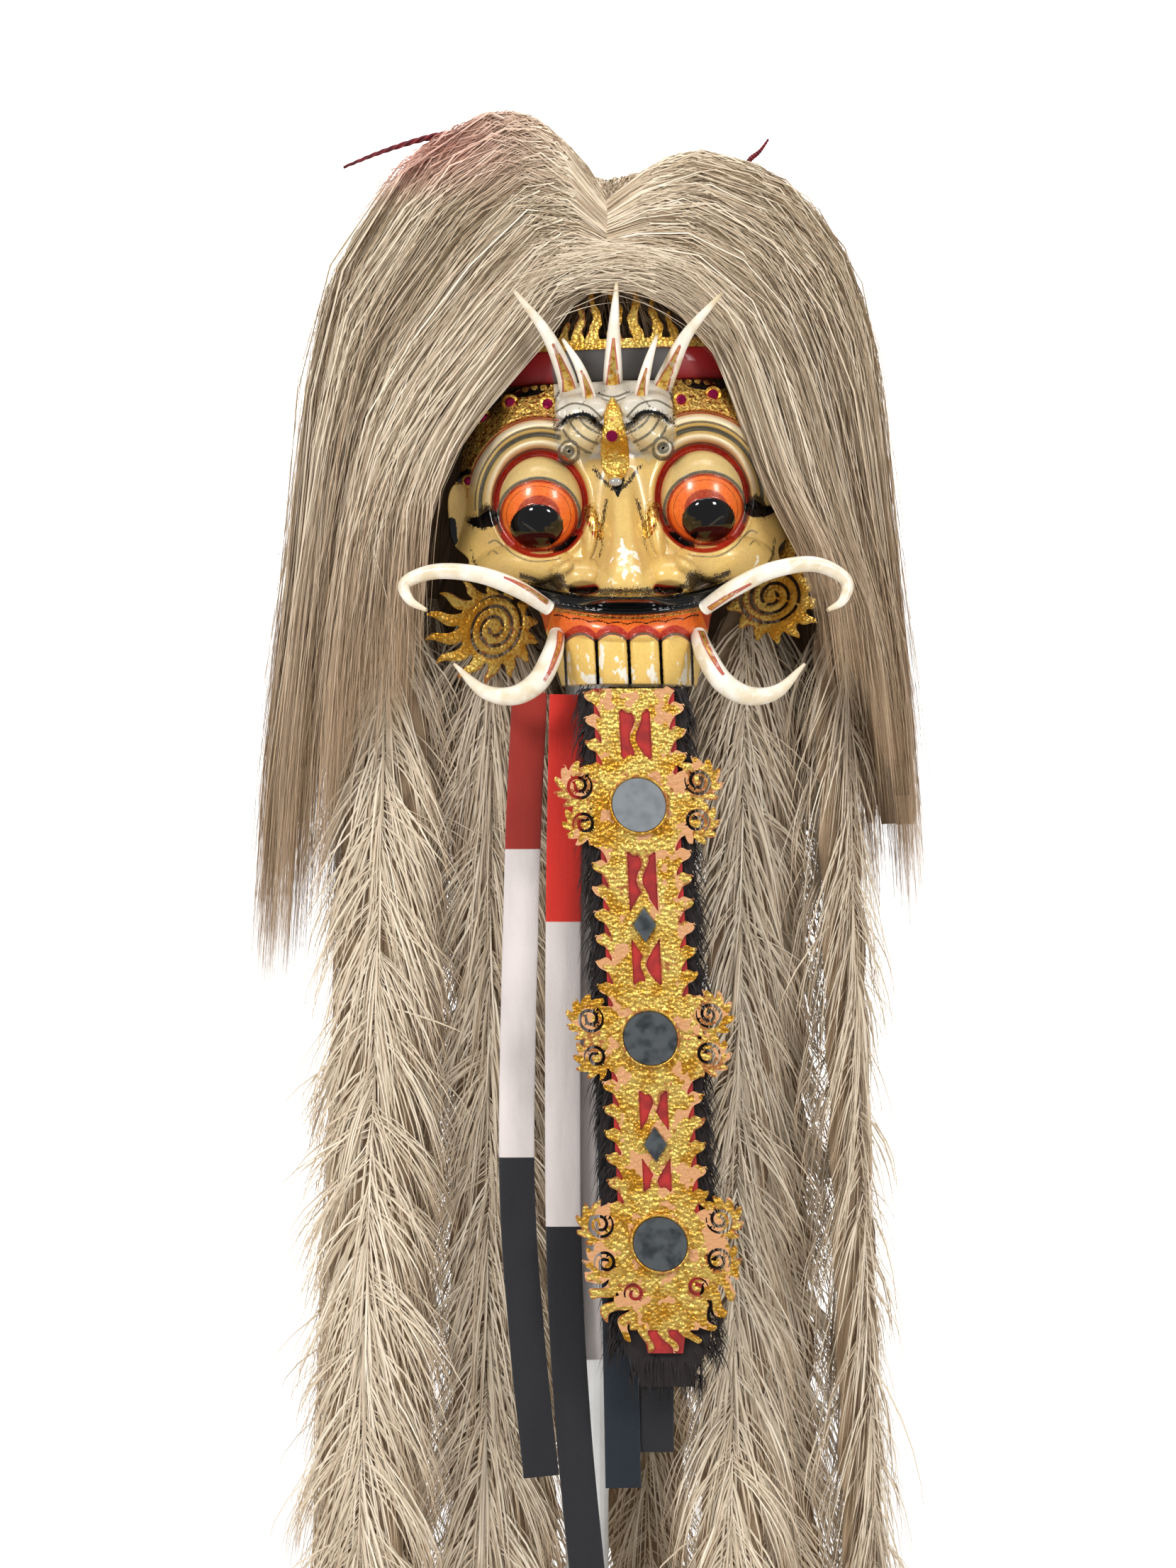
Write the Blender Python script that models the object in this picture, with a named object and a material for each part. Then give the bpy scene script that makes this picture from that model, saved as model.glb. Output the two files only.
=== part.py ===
"""A demon dance mask on its stand: a carved and painted wooden face with horns and tusks, a flame
crown, gilded leather ears, a long gilded tongue, sewn cloth strips and long hair over a woven cap.

Metres, +Z up. The face looks along -Y and +X is on the viewer's right. The origin is the middle of the
underside of the stand's base.
"""

import math

import bmesh
import bpy
import numpy as np
from mathutils import Vector

MM = 0.001
FIT_GAP = 0.3 * MM

# The stand
BASE_DIAMETER = 420 * MM
BASE_THICKNESS = 12 * MM
BASE_EDGE = 3 * MM
POST_DIAMETER = 38 * MM
REST_WIDTH = 110 * MM
REST_HEIGHT = 90 * MM
REST_PAD = 4 * MM

# The face. Its carving is drawn in its own units, of which FACE_UNITS make the height of the face.
NOSE_HEIGHT = 1171 * MM
FACE_OFFSET = 31 * MM
FACE_HEIGHT = 260 * MM
FACE_UNITS = 260.0
FACE_RIM_Y = -85 * MM
FACE_WALL = 10 * MM
FACE_LEAN = 0.045
FACE_SKEW = 0.038
FACE_TRIANGLES = 2700
TEETH_FOOT = -123.0
BROW_TOP = 137.0

# The woven cap
CAP_RISE = 236 * MM
CAP_X = 6 * MM
CAP_HALF_WIDTH = 92 * MM
CAP_HALF_DEPTH = 88 * MM
CAP_HEIGHT = 190 * MM
CAP_WALL = 6 * MM

# Leather and metal trim
PLATE = 2.2 * MM
EAR_PLATE = 2.6 * MM
JEWEL_THICKNESS = 8 * MM

# The tongue
TONGUE_LENGTH = 577 * MM
TONGUE_WIDTH = 70 * MM
TONGUE_LEATHER = 3.5 * MM
TONGUE_FUR = 13 * MM
TONGUE_Y = -185 * MM
TONGUE_DRIFT = 28 * MM
MIRROR_DIAMETER = 46 * MM
MIRROR_THICKNESS = 3 * MM
DIAMOND_WIDTH = 20 * MM
DIAMOND_HEIGHT = 30 * MM

# The cloth strips
STRIP_WIDTH = 31 * MM
STRIP_THICKNESS = 7 * MM

# The hair
PARTING_HEIGHT = NOSE_HEIGHT + 299 * MM
PARTING_GAP = 1.5 * MM
HAIR_THICKNESS = 17 * MM
PLUME_THICKNESS = 36 * MM
PLUME_TIERS = 7
PLUME_FOOT = 75 * MM


def clear_scene():
    for old in list(bpy.data.objects):
        bpy.data.objects.remove(old)


def material(name, colour, roughness, metallic=0.0):
    made = bpy.data.materials.new(name)
    made.use_nodes = True
    shader = made.node_tree.nodes["Principled BSDF"]
    shader.inputs["Base Color"].default_value = (*colour, 1.0)
    shader.inputs["Roughness"].default_value = roughness
    shader.inputs["Metallic"].default_value = metallic
    return made


def add_object(name, bm, finish):
    """Makes the bmesh an object with its faces pointing out and its round stretches shaded smooth."""
    bmesh.ops.recalc_face_normals(bm, faces=bm.faces)
    if bm.calc_volume(signed=True) < 0:
        bmesh.ops.reverse_faces(bm, faces=bm.faces)
    mesh = bpy.data.meshes.new(name)
    bm.to_mesh(mesh)
    bm.free()
    mesh.shade_smooth()
    mesh.set_sharp_from_angle(angle=math.radians(40))
    obj = bpy.data.objects.new(name, mesh)
    mesh.materials.append(finish)
    bpy.context.scene.collection.objects.link(obj)
    return obj


def as_cutter(obj):
    obj.hide_render = True
    obj.display_type = "WIRE"
    return obj


def cut(obj, cutter):
    boolean = obj.modifiers.new("Cut " + cutter.name, "BOOLEAN")
    boolean.operation = "DIFFERENCE"
    boolean.object = cutter


def through(keys, at):
    """A smooth curve through (place, value) keys, read at each place in at."""
    places, values = (np.array(column, float) for column in zip(*keys))
    slopes = np.gradient(values, places)
    at = np.clip(np.asarray(at, float), places[0], places[-1])
    i = np.clip(np.searchsorted(places, at, side="right") - 1, 0, len(places) - 2)
    span = places[i + 1] - places[i]
    t = (at - places[i]) / span
    return (
        (1 + 2 * t) * (1 - t) ** 2 * values[i]
        + t * (1 - t) ** 2 * span * slopes[i]
        + t * t * (3 - 2 * t) * values[i + 1]
        + t * t * (t - 1) * span * slopes[i + 1]
    )


def ease(low, high, x):
    """0 below low, 1 above high and smooth between."""
    t = np.clip((np.asarray(x, float) - low) / (high - low), 0, 1)
    return t * t * (3 - 2 * t)


def swell(u, v, centre, radii, power=0.5):
    """A rounded swelling: 1 in its middle and 0 from its edge out."""
    q = ((u - centre[0]) / radii[0]) ** 2 + ((v - centre[1]) / radii[1]) ** 2
    return np.clip(1 - q, 0, 1) ** power


def hump(x, middle, width):
    return np.exp(-(((x - middle) / width) ** 2))


def loft(bm, rings, closed_ends=True):
    """Skins rings of points, each ring a closed loop with the same number of points."""
    loops = [[bm.verts.new(point) for point in ring] for ring in rings]
    for low, high in zip(loops, loops[1:]):
        for i in range(len(low)):
            j = (i + 1) % len(low)
            bm.faces.new((low[i], low[j], high[j], high[i]))
    if closed_ends:
        bm.faces.new(reversed(loops[0]))
        bm.faces.new(loops[-1])


def shell(bm, outer, inner):
    """Skins two grids of points and joins their four edges, for a closed shell."""
    rows, columns = len(outer), len(outer[0])
    front = [[bm.verts.new(point) for point in row] for row in outer]
    back = [[bm.verts.new(point) for point in row] for row in inner]
    for i in range(rows - 1):
        for j in range(columns - 1):
            bm.faces.new((front[i][j], front[i][j + 1], front[i + 1][j + 1], front[i + 1][j]))
            bm.faces.new((back[i][j], back[i + 1][j], back[i + 1][j + 1], back[i][j + 1]))
    for i in range(rows - 1):
        for j in (0, columns - 1):
            bm.faces.new((front[i][j], front[i + 1][j], back[i + 1][j], back[i][j]))
    for j in range(columns - 1):
        for i in (0, rows - 1):
            bm.faces.new((front[i][j], back[i][j], back[i][j + 1], front[i][j + 1]))


def plate(bm, outline, place, thickness):
    """Extrudes a flat outline of (a, b) points. place(a, b, depth) puts each corner in the world."""
    loft(bm, [[place(a, b, depth) for a, b in outline] for depth in (0, thickness)])


def tube_rings(points, radii, sides, flat=1.0):
    """Rings round a line of points. flat squeezes each ring along the line's own depth direction."""
    rings = []
    for i, (point, radius) in enumerate(zip(points, radii)):
        ahead = points[min(i + 1, len(points) - 1)]
        behind = points[max(i - 1, 0)]
        along = (ahead - behind).normalized()
        across = along.cross(Vector((0, -1, 0.02))).normalized()
        deep = across.cross(along).normalized()
        turns = (2 * math.pi * k / sides for k in range(sides))
        rings.append(
            [point + float(radius) * (math.cos(a) * across + flat * math.sin(a) * deep) for a in turns]
        )
    return rings


def bend(points, steps):
    """Points of a smooth curve through the given points, evenly spread from the first to the last."""
    stops = np.linspace(0, 1, len(points))
    at = np.linspace(0, 1, steps)
    columns = [through(list(zip(stops, [p[axis] for p in points])), at) for axis in range(3)]
    return [Vector(p) for p in zip(*columns)]


# The face's own places: u to the viewer's right, v up from the nose bridge, d forward from the rim.
def on_face(u, v, d):
    unit = FACE_HEIGHT / FACE_UNITS
    level = FACE_SKEW * float(ease(-50, 0, v))
    return Vector(
        (
            FACE_OFFSET + unit * (u - FACE_LEAN * v),
            FACE_RIM_Y - unit * d,
            NOSE_HEIGHT + unit * (v + level * u),
        )
    )


HALF_WIDTH_KEYS = (
    (-123, 58), (-100, 64), (-75, 70), (-58, 75), (-48, 84), (-38, 108), (-28, 130), (-8, 134),
    (4, 145), (28, 149), (50, 147), (64, 138), (85, 134), (108, 122), (126, 100), (137, 80),
)
DEPTH_KEYS = (
    (-123, 84), (-95, 86), (-75, 82), (-58, 74), (-30, 66), (10, 62), (50, 60), (90, 56),
    (118, 46), (137, 34),
)
CORE_KEYS = (
    (-123, 60), (-80, 72), (-58, 82), (-44, 104), (-28, 131), (40, 136), (80, 135), (108, 125),
    (126, 106), (137, 90),
)
TEMPLE_DEPTH = 13.0
EYE = (69.0, 34.0)
EYE_RADII = (36.0, 41.0)
TOOTH_WIDTH = 27.0
NOSE_WIDTH_KEYS = ((-62, 27), (-44, 27), (-12, 18), (22, 12), (62, 11))
NOSE_HEIGHT_KEYS = (
    (-64, 0), (-58, 7), (-52, 34), (-44, 54), (-34, 56), (-16, 42), (8, 28), (35, 15), (62, 4),
)


def head_depth(u, v):
    """The plain head under the carving: a rounded core with a shallower temple on each side."""
    a = np.abs(u)
    core = through(CORE_KEYS, v)
    round_core = through(DEPTH_KEYS, v) * np.clip(1 - (a / core) ** 2.6, 0, 1) ** 0.55
    temple = TEMPLE_DEPTH * ease(-10, 8, v) * (1 - ease(60, 80, v)) * (1 - ease(150, 172, a) * 0.6)
    return np.maximum(round_core, np.maximum(temple, 6))


def eye_ring(a, v):
    """How far out from the middle of an eye: 1 at the edge of the eyeball."""
    return np.sqrt(((a - EYE[0]) / EYE_RADII[0]) ** 2 + ((v - EYE[1]) / EYE_RADII[1]) ** 2)


def iris(a, v):
    return np.hypot((a - 71) / 33.5, (v - 23) / 30)


def pupil(a, v):
    return np.hypot((a - 73) / 22.5, (v - 14) / 18)


def eye_depth(a, v, depth):
    q = eye_ring(a, v)
    socket = depth - 9 * hump(q, 1.04, 0.13) + 3.5 * hump(q, 1.19, 0.06)
    ball = 44 + 38 * np.clip(1 - q * q, 0, 1) ** 0.5
    lid = 4.5 * ease(1.0, 1.05, iris(a, v)) * ease(6, 20, v)
    bulge = 5 * np.clip(1 - pupil(a, v) ** 2, 0, 1) ** 0.5
    return np.where(q < 1, np.maximum(ball + bulge + lid, 42), socket)


def brow_depth(a, v):
    """The ridges that arch over each eye, and the gilded relief above them."""
    q = eye_ring(a, v)
    over = ease(8, 50, v) * ease(30, 50, a) * (1 - 0.7 * ease(96, 114, a))
    ridge = 15 * hump(q, 1.62, 0.15) + 9 * hump(q, 1.29, 0.09)
    groove = -2.5 * hump(q, 1.45, 0.03) - 2.5 * hump(q, 1.78, 0.03)
    gilded = 8 * ease(1.80, 1.86, q) * (1 - ease(92, 110, a)) * ease(30, 60, v)
    return over * (ridge + groove) + gilded * ease(44, 52, a)


def cone_places(u, v):
    """Places on the snail-shaped cones of the forehead: along each cone, and across it."""
    x, y = np.abs(u + 3) - 22, v - 97
    return (19 * x - 22 * y) / 29, (22 * x + 19 * y) / 29


def forehead_depth(u, v):
    a = np.abs(u + 3)
    form = 14 * np.clip(1 - (a / 50) ** 4 - ((v - 108) / 33) ** 4, 0, 1) ** 0.4
    rolls = 12 * swell(a, v, (28, 113), (23, 14))
    along, across = cone_places(u, v)
    radius = 16.5 - 0.2 * along - 1.2 * ease(8, 9, along) - 1.2 * ease(17, 18, along)
    ends = ease(-8, 2, along) * (1 - ease(26, 29, along))
    cone = 17 * np.clip(1 - (across / radius) ** 2, 0, 1) ** 0.5 * ends
    tip = 17 * swell(a, v, (40, 76), (9, 8.5), 0.2)
    return form + np.maximum(rolls, np.maximum(cone, tip))


def nose_depth(a, v):
    width = through(NOSE_WIDTH_KEYS, v)
    height = through(NOSE_HEIGHT_KEYS, v)
    ridge = np.where(v > -64, height, 0) / (1 + (a / width) ** 4)
    wing = 38 * swell(a, v, (38, -31), (24, 17), 0.4)
    nostril = -17 * swell(a, v, (36, -42), (14, 6), 1.0)
    tear = 9 * swell(a, v, (28 - 0.12 * (v - 8), 8), (6.5, 25))
    return np.maximum(ridge, wing) + nostril + tear


def cheek_depth(a, v):
    return 27 * swell(a, v, (86, -18), (43, 19), 0.45)


def lip_line(a):
    """The height of the middle of the upper lip."""
    return -58 + 11 * (a / 72) ** 2


def mouth_depth(u, v):
    a = np.abs(u)
    lip = 17 * np.clip(1 - ((v - lip_line(a)) / 8.5) ** 2, 0, 1) ** 0.5 * (1 - ease(74, 92, a))
    gum_line = lip_line(a) - 16
    gum = 9 * np.clip(1 - ((v - gum_line) / 13) ** 2, 0, 1) ** 0.5 * (1 - ease(62, 78, a))
    across = ((u / TOOTH_WIDTH) % 1.0) * 2 - 1
    tooth_top = -80 - 7 * across**2
    row = (1 - ease(53.5, 56, a)) * (1 - ease(tooth_top - 1.5, tooth_top + 1.5, v))
    tooth = row * (13 * np.clip(1 - across**6, 0, 1) ** 0.5 - 3)
    return lip + gum + tooth


def face_depth(u, v):
    """How far the carved surface stands in front of the rim, in face units."""
    a = np.abs(u)
    depth = eye_depth(a, v, head_depth(u, v))
    features = nose_depth(a, v) + cheek_depth(a, v) + mouth_depth(u, v)
    carved = brow_depth(a, v) + forehead_depth(u, v) + features
    outside_eye = ease(0.97, 1.05, eye_ring(a, v))
    edge = 1 - ease(0.86, 1.0, a / through(HALF_WIDTH_KEYS, v)) * 0.5
    return np.where(outside_eye > 0, depth + outside_eye * edge * carved, depth)


def face_grid(half_width, low, high, columns, rows, depth_of):
    """Rows of world points over the face, with a last row and column all round that lie on the rim."""
    unit_rows = np.linspace(low, high, rows)
    shares = np.linspace(-1, 1, columns)
    grid = []
    for i in range(-1, rows + 1):
        v = unit_rows[min(max(i, 0), rows - 1)]
        past = 0.4 * (i == rows) - 0.4 * (i < 0)
        half = float(half_width(v))
        row = []
        for j in range(-1, columns + 1):
            share = shares[min(max(j, 0), columns - 1)]
            on_rim = i in (-1, rows) or j in (-1, columns)
            grow = 1 + 0.004 * (j in (-1, columns))
            d = 0.0 if on_rim else float(depth_of(share * half, v))
            row.append(on_face(share * half * grow, v + past, d))
        grid.append(row)
    return grid


def make_face(cutters, finish):
    wall = FACE_WALL * FACE_UNITS / FACE_HEIGHT
    outer = face_grid(
        lambda v: through(HALF_WIDTH_KEYS, v), TEETH_FOOT, BROW_TOP, 84, 92, face_depth
    )
    inner = face_grid(
        lambda v: through(HALF_WIDTH_KEYS, v) - wall,
        TEETH_FOOT + wall,
        BROW_TOP - wall,
        84,
        92,
        lambda u, v: max(0.78 * float(head_depth(u, v)) - 6, 3.0),
    )
    bm = bmesh.new()
    shell(bm, outer, inner)
    bmesh.ops.triangulate(bm, faces=bm.faces)
    count = len(bm.faces)
    face = add_object("face", bm, finish)
    fewer = face.modifiers.new("Fewer faces", "DECIMATE")
    fewer.ratio = FACE_TRIANGLES / count
    for cutter in cutters:
        cut(face, cutter)
    return face


# Each horn: its name, its line from root to tip in face places, and its radius at the root.
HORNS = (
    ("horn_centre", ((-3, 130, 40), (-2, 150, 56), (0, 180, 62), (4, 219, 66)), 6.5),
    ("horn_outer_left", ((-40, 128, 34), (-44, 146, 54), (-58, 178, 76), (-84, 213, 96)), 6.5),
    ("horn_outer_right", ((38, 128, 34), (46, 144, 54), (62, 172, 76), (92, 203, 96)), 6.5),
    ("horn_inner_left", ((-23, 118, 54), (-25, 130, 68), (-32, 150, 76), (-44, 171, 82)), 4.2),
    ("horn_inner_right", ((20, 118, 54), (22, 130, 68), (28, 150, 76), (36, 171, 82)), 4.2),
)
TUSKS = (
    (
        "tusk_upper",
        ((66, -58, 70), (92, -42, 90), (124, -29, 96), (160, -25, 90), (186, -36, 84), (183, -52, 90), (169, -61, 96)),
        (6.5, 7.5, 7.2, 6.6, 5.6, 4.0, 1.6),
    ),
    (
        "tusk_lower",
        ((60, -80, 58), (65, -98, 84), (78, -121, 95), (99, -133, 98), (124, -129, 98), (148, -106, 96)),
        (7.0, 8.8, 9.4, 8.2, 5.8, 1.2),
    ),
)
SIDES = (("left", -1), ("right", 1))


def horn_mesh(line, radius, grow, sides=7, steps=7):
    """A curved horn that tapers to a point. grow thickens it all over, for the socket it is set in."""
    unit = FACE_HEIGHT / FACE_UNITS
    points = bend([on_face(*place) for place in line], steps)
    shares = np.linspace(0, 1, steps)
    radii = [unit * radius * (1 - share**1.6) + unit * 0.9 + grow for share in shares]
    points[0] = points[0] + (points[0] - points[1]).normalized() * grow
    bm = bmesh.new()
    loft(bm, tube_rings(points, radii, sides))
    return bm


def tusk_mesh(line, widths, side, grow, sides=8, steps=10):
    unit = FACE_HEIGHT / FACE_UNITS
    points = bend([on_face(side * u, v, d) for u, v, d in line], steps)
    stops = np.linspace(0, 1, len(widths))
    radii = through(list(zip(stops, widths)), np.linspace(0, 1, steps)) * unit + grow
    points[0] = points[0] + (points[0] - points[1]).normalized() * grow
    bm = bmesh.new()
    loft(bm, tube_rings(points, list(radii), sides))
    return bm


def jewel_mesh(grow):
    """The long pointed ornament down the middle of the forehead."""
    unit = FACE_HEIGHT / FACE_UNITS
    top, foot, middle = 121.0, 51.0, -4.0
    thickness = JEWEL_THICKNESS / unit
    outer, inner = [], []
    for v in np.linspace(foot, top, 11):
        share = (v - foot) / (top - foot)
        half = through(((0, 4.5), (0.12, 10.5), (0.3, 12), (0.65, 9), (0.9, 5), (1, 1.5)), share)
        v_here = v + (grow / unit) * (2 * share - 1)
        ground = max(float(face_depth(middle, v)), float(face_depth(middle + float(half), v))) - 2
        half = float(half) + grow / unit
        outer.append(
            [
                on_face(middle + half * s, v_here, ground + thickness * (1 - 0.45 * s * s) + grow / unit)
                for s in (-1, -0.5, 0, 0.5, 1)
            ]
        )
        inner.append(
            [on_face(middle + half * s, v_here, ground - 4 - grow / unit) for s in (-1, -0.5, 0, 0.5, 1)]
        )
    bm = bmesh.new()
    shell(bm, outer, inner)
    return bm


def make_horns_and_tusks(ivory, gold):
    """Makes each horn, each tusk and the jewel, and returns the cutters that open their sockets."""
    cutters = []

    def set_in(name, mesh_of, finish):
        add_object(name, mesh_of(0.0), finish)
        cutters.append(as_cutter(add_object("socket_" + name, mesh_of(FIT_GAP), finish)))

    for name, line, radius in HORNS:
        set_in(name, lambda grow, line=line, radius=radius: horn_mesh(line, radius, grow), ivory)
    for kind, line, widths in TUSKS:
        for side_name, side in SIDES:
            set_in(
                f"{kind}_{side_name}",
                lambda grow, line=line, widths=widths, side=side: tusk_mesh(line, widths, side, grow),
                ivory,
            )
    set_in("forehead_jewel", jewel_mesh, gold)
    return cutters


# The crown: a padded band over the brow and a leather plate of flames above it, both bent round the head.
CROWN_HALF_WIDTH = 150.0
CROWN_DEPTH = 104.0
CROWN_FRONT = 27.0
BAND_LOW = 138.5
BAND_HIGH = 166.0
BAND_PAD = 8.0
BAND_TURN = 50.0
FLAMES_TURN = 74.0
FLAMES_TILT = 0.12
FLAMES_LOW = 8.5
LEAST_TURN = 0.7
# Each flame: its middle across the brow, its height over the band and its width at the foot.
CROWN_FLAMES = (
    (-41, 26, 13), (-29, 42, 14), (-16, 52, 14), (2, 64, 15), (19, 61, 14), (36, 45, 14), (50, 33, 12),
    (60, 15, 10), (-54, 18, 12), (95, 30, 34), (78, 14, 14), (-68, 14, 14), (-84, 26, 20), (112, 18, 14),
    (-100, 20, 16), (-116, 24, 16), (126, 22, 14), (-130, 18, 14), (138, 16, 12),
)


def round_crown(turn, v, out):
    """A place on the crown: turn in degrees from the middle of the brow, out from its line."""
    a = math.radians(turn)
    return on_face(
        (CROWN_HALF_WIDTH + out) * math.sin(a),
        v,
        CROWN_FRONT - CROWN_DEPTH + (CROWN_DEPTH + out) * math.cos(a),
    )


def flame_turn(across):
    return math.degrees(math.asin(max(-1, min(1, across / (CROWN_HALF_WIDTH + 1)))))


def flame_height(turn, flame):
    """How high one flame stands over the band at a turn round the crown."""
    middle, height, width = flame
    away = abs(turn - flame_turn(middle)) / (flame_turn(width / 2) - flame_turn(-width / 2)) * 2
    return height * max(0, 1 - away)


def make_crown(cloth, gold):
    unit = FACE_HEIGHT / FACE_UNITS
    bm = bmesh.new()
    rings = []
    for turn in np.linspace(-BAND_TURN, BAND_TURN, 17):
        middle, half = (BAND_LOW + BAND_HIGH) / 2, (BAND_HIGH - BAND_LOW) / 2
        ring = []
        for k in range(8):
            a = 2 * math.pi * (k + 0.5) / 8
            swollen = BAND_PAD / 2 * (1 + math.cos(a))
            ring.append(round_crown(turn, middle + half * math.sin(a) / math.sin(math.pi * 3 / 8), swollen))
        rings.append(ring)
    loft(bm, rings)
    add_object("crown_band", bm, cloth)

    foot = BAND_HIGH + FIT_GAP / unit
    turns = [-FLAMES_TURN, FLAMES_TURN]
    for middle, _, width in CROWN_FLAMES:
        for place in (middle - width / 2, middle, middle + width / 2):
            turn = flame_turn(place)
            if abs(turn) < FLAMES_TURN and min(abs(turn - other) for other in turns) > LEAST_TURN:
                turns.append(turn)
    turns.sort()
    layers = []
    for out in (PLATE / unit, 0.0):
        rows = []
        for share in (0, 0.5, 1):
            rows.append([])
            for turn in turns:
                up = share * max(FLAMES_LOW, *(flame_height(turn, flame) for flame in CROWN_FLAMES))
                rows[-1].append(round_crown(turn, foot + up, 1 + out - FLAMES_TILT * up))
        layers.append(rows)
    bm = bmesh.new()
    shell(bm, *layers)
    add_object("crown_flames", bm, gold)


EAR_SHORT = 10.0
EAR_LONG = 33.0
EAR_FLAMES = 14
FLAME_BEND = 0.45


def ear_outline(radius, toward, fine):
    """A round plate's outline: its flames are longest on the side that toward points to, and bend that way."""
    outline = []
    step = 2 * math.pi / EAR_FLAMES
    for k in range(EAR_FLAMES):
        near, far = step * k, step * (k + 0.8)
        middle = (near + far) / 2
        turn = (toward - middle + math.pi) % (2 * math.pi) - math.pi
        ahead = 0.5 + 0.5 * math.cos(turn)
        long = EAR_SHORT + (EAR_LONG - EAR_SHORT) * ahead**1.6
        heading = middle + FLAME_BEND * ahead * turn
        tip = (
            radius * math.cos(middle) + long * math.cos(heading),
            radius * math.sin(middle) + long * math.sin(heading),
        )
        near_side, far_side = [], []
        for i in range(fine + 1):
            share = i / (fine + 1)
            wave = 0.07 * long * math.sin(2 * math.pi * share)
            belly = 0.05 * long * math.sin(math.pi * share)
            for side, foot, out in ((near_side, near, wave - belly), (far_side, far, wave + belly)):
                x = radius * math.cos(foot) * (1 - share) + tip[0] * share - out * math.sin(heading)
                y = radius * math.sin(foot) * (1 - share) + tip[1] * share + out * math.cos(heading)
                side.append((x, y))
        outline += near_side + [tip] + far_side[::-1]
    return outline


def spiral_outline(start, pitch, turns, width):
    """The outline of a slot that winds out from the middle."""
    steps = 15
    inner, outer = [], []
    for k in range(steps + 1):
        a = 2 * math.pi * turns * k / steps
        r = start + pitch * turns * k / steps
        inner.append(((r - width / 2) * math.cos(a), (r - width / 2) * math.sin(a)))
        outer.append(((r + width / 2) * math.cos(a), (r + width / 2) * math.sin(a)))
    return inner + outer[::-1]


# Each ear: its side, its middle in face places, how far it is turned, its radius without the flames,
# and the way its long flames point, from the side near the face.
EARS = (
    ("left", (-115.0, -73.0, -3.3), -12.0, 31.0, 3.3),
    ("right", (128.0, -45.0, -8.2), 14.0, 32.0, 1.9),
)


def make_ears(gold):
    unit = FACE_HEIGHT / FACE_UNITS
    for name, (cu, cv, cd), turn, radius, toward in EARS:
        side = -1 if cu < 0 else 1
        swing = math.radians(turn)

        def place(a, b, depth, cu=cu, cv=cv, cd=cd, side=side, swing=swing):
            across = side * -a
            out = depth / unit
            return on_face(
                cu + across * math.cos(swing) - out * math.sin(swing),
                cv + b,
                cd + across * math.sin(swing) + out * math.cos(swing),
            )

        bm = bmesh.new()
        plate(bm, ear_outline(radius, toward, 1), place, EAR_PLATE)
        ear = add_object("ear_" + name, bm, gold)
        bm = bmesh.new()
        slot = spiral_outline(5.0, 11.0, 2.1, 3.6)
        plate(bm, slot, lambda a, b, depth: place(a, b, depth - 2 * MM), EAR_PLATE + 4 * MM)
        cut(ear, as_cutter(add_object("spiral_" + name, bm, gold)))


# The tongue hangs from behind the teeth. Its places are shares down its length from 0 to 1.
TONGUE_TOP_GAP = 4 * MM
MIRROR_PLACES = (0.17, 0.51, 0.81)
DIAMOND_PLACES = (0.345, 0.665)
WINDOWS = ((0.03, 0.10, 0.36), (0.235, 0.30, 0.3), (0.39, 0.445, 0.3), (0.575, 0.63, 0.3), (0.70, 0.75, 0.3))


def tongue_top():
    return on_face(0, TEETH_FOOT, 0).z - TONGUE_TOP_GAP


def on_tongue(across, share, forward):
    """A place on the tongue: metres across, a share down its length, metres forward of the leather."""
    top_x = FACE_OFFSET + 8 * MM
    return Vector(
        (
            top_x + TONGUE_DRIFT * share + across,
            TONGUE_Y - forward,
            tongue_top() - TONGUE_LENGTH * share,
        )
    )


def tongue_half_width(share, flames):
    """Half the width of the gilding, with a lobed roundel at each mirror."""
    half = 0.5 * TONGUE_WIDTH * (1 - 0.35 * float(ease(0.88, 1.0, share)))
    lobe = max(math.sqrt(max(0, 1 - ((share - m) * TONGUE_LENGTH / (44 * MM)) ** 2)) for m in MIRROR_PLACES)
    half += 32 * MM * lobe * (1 if share < 0.86 else 0.6)
    return half + flames


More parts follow.
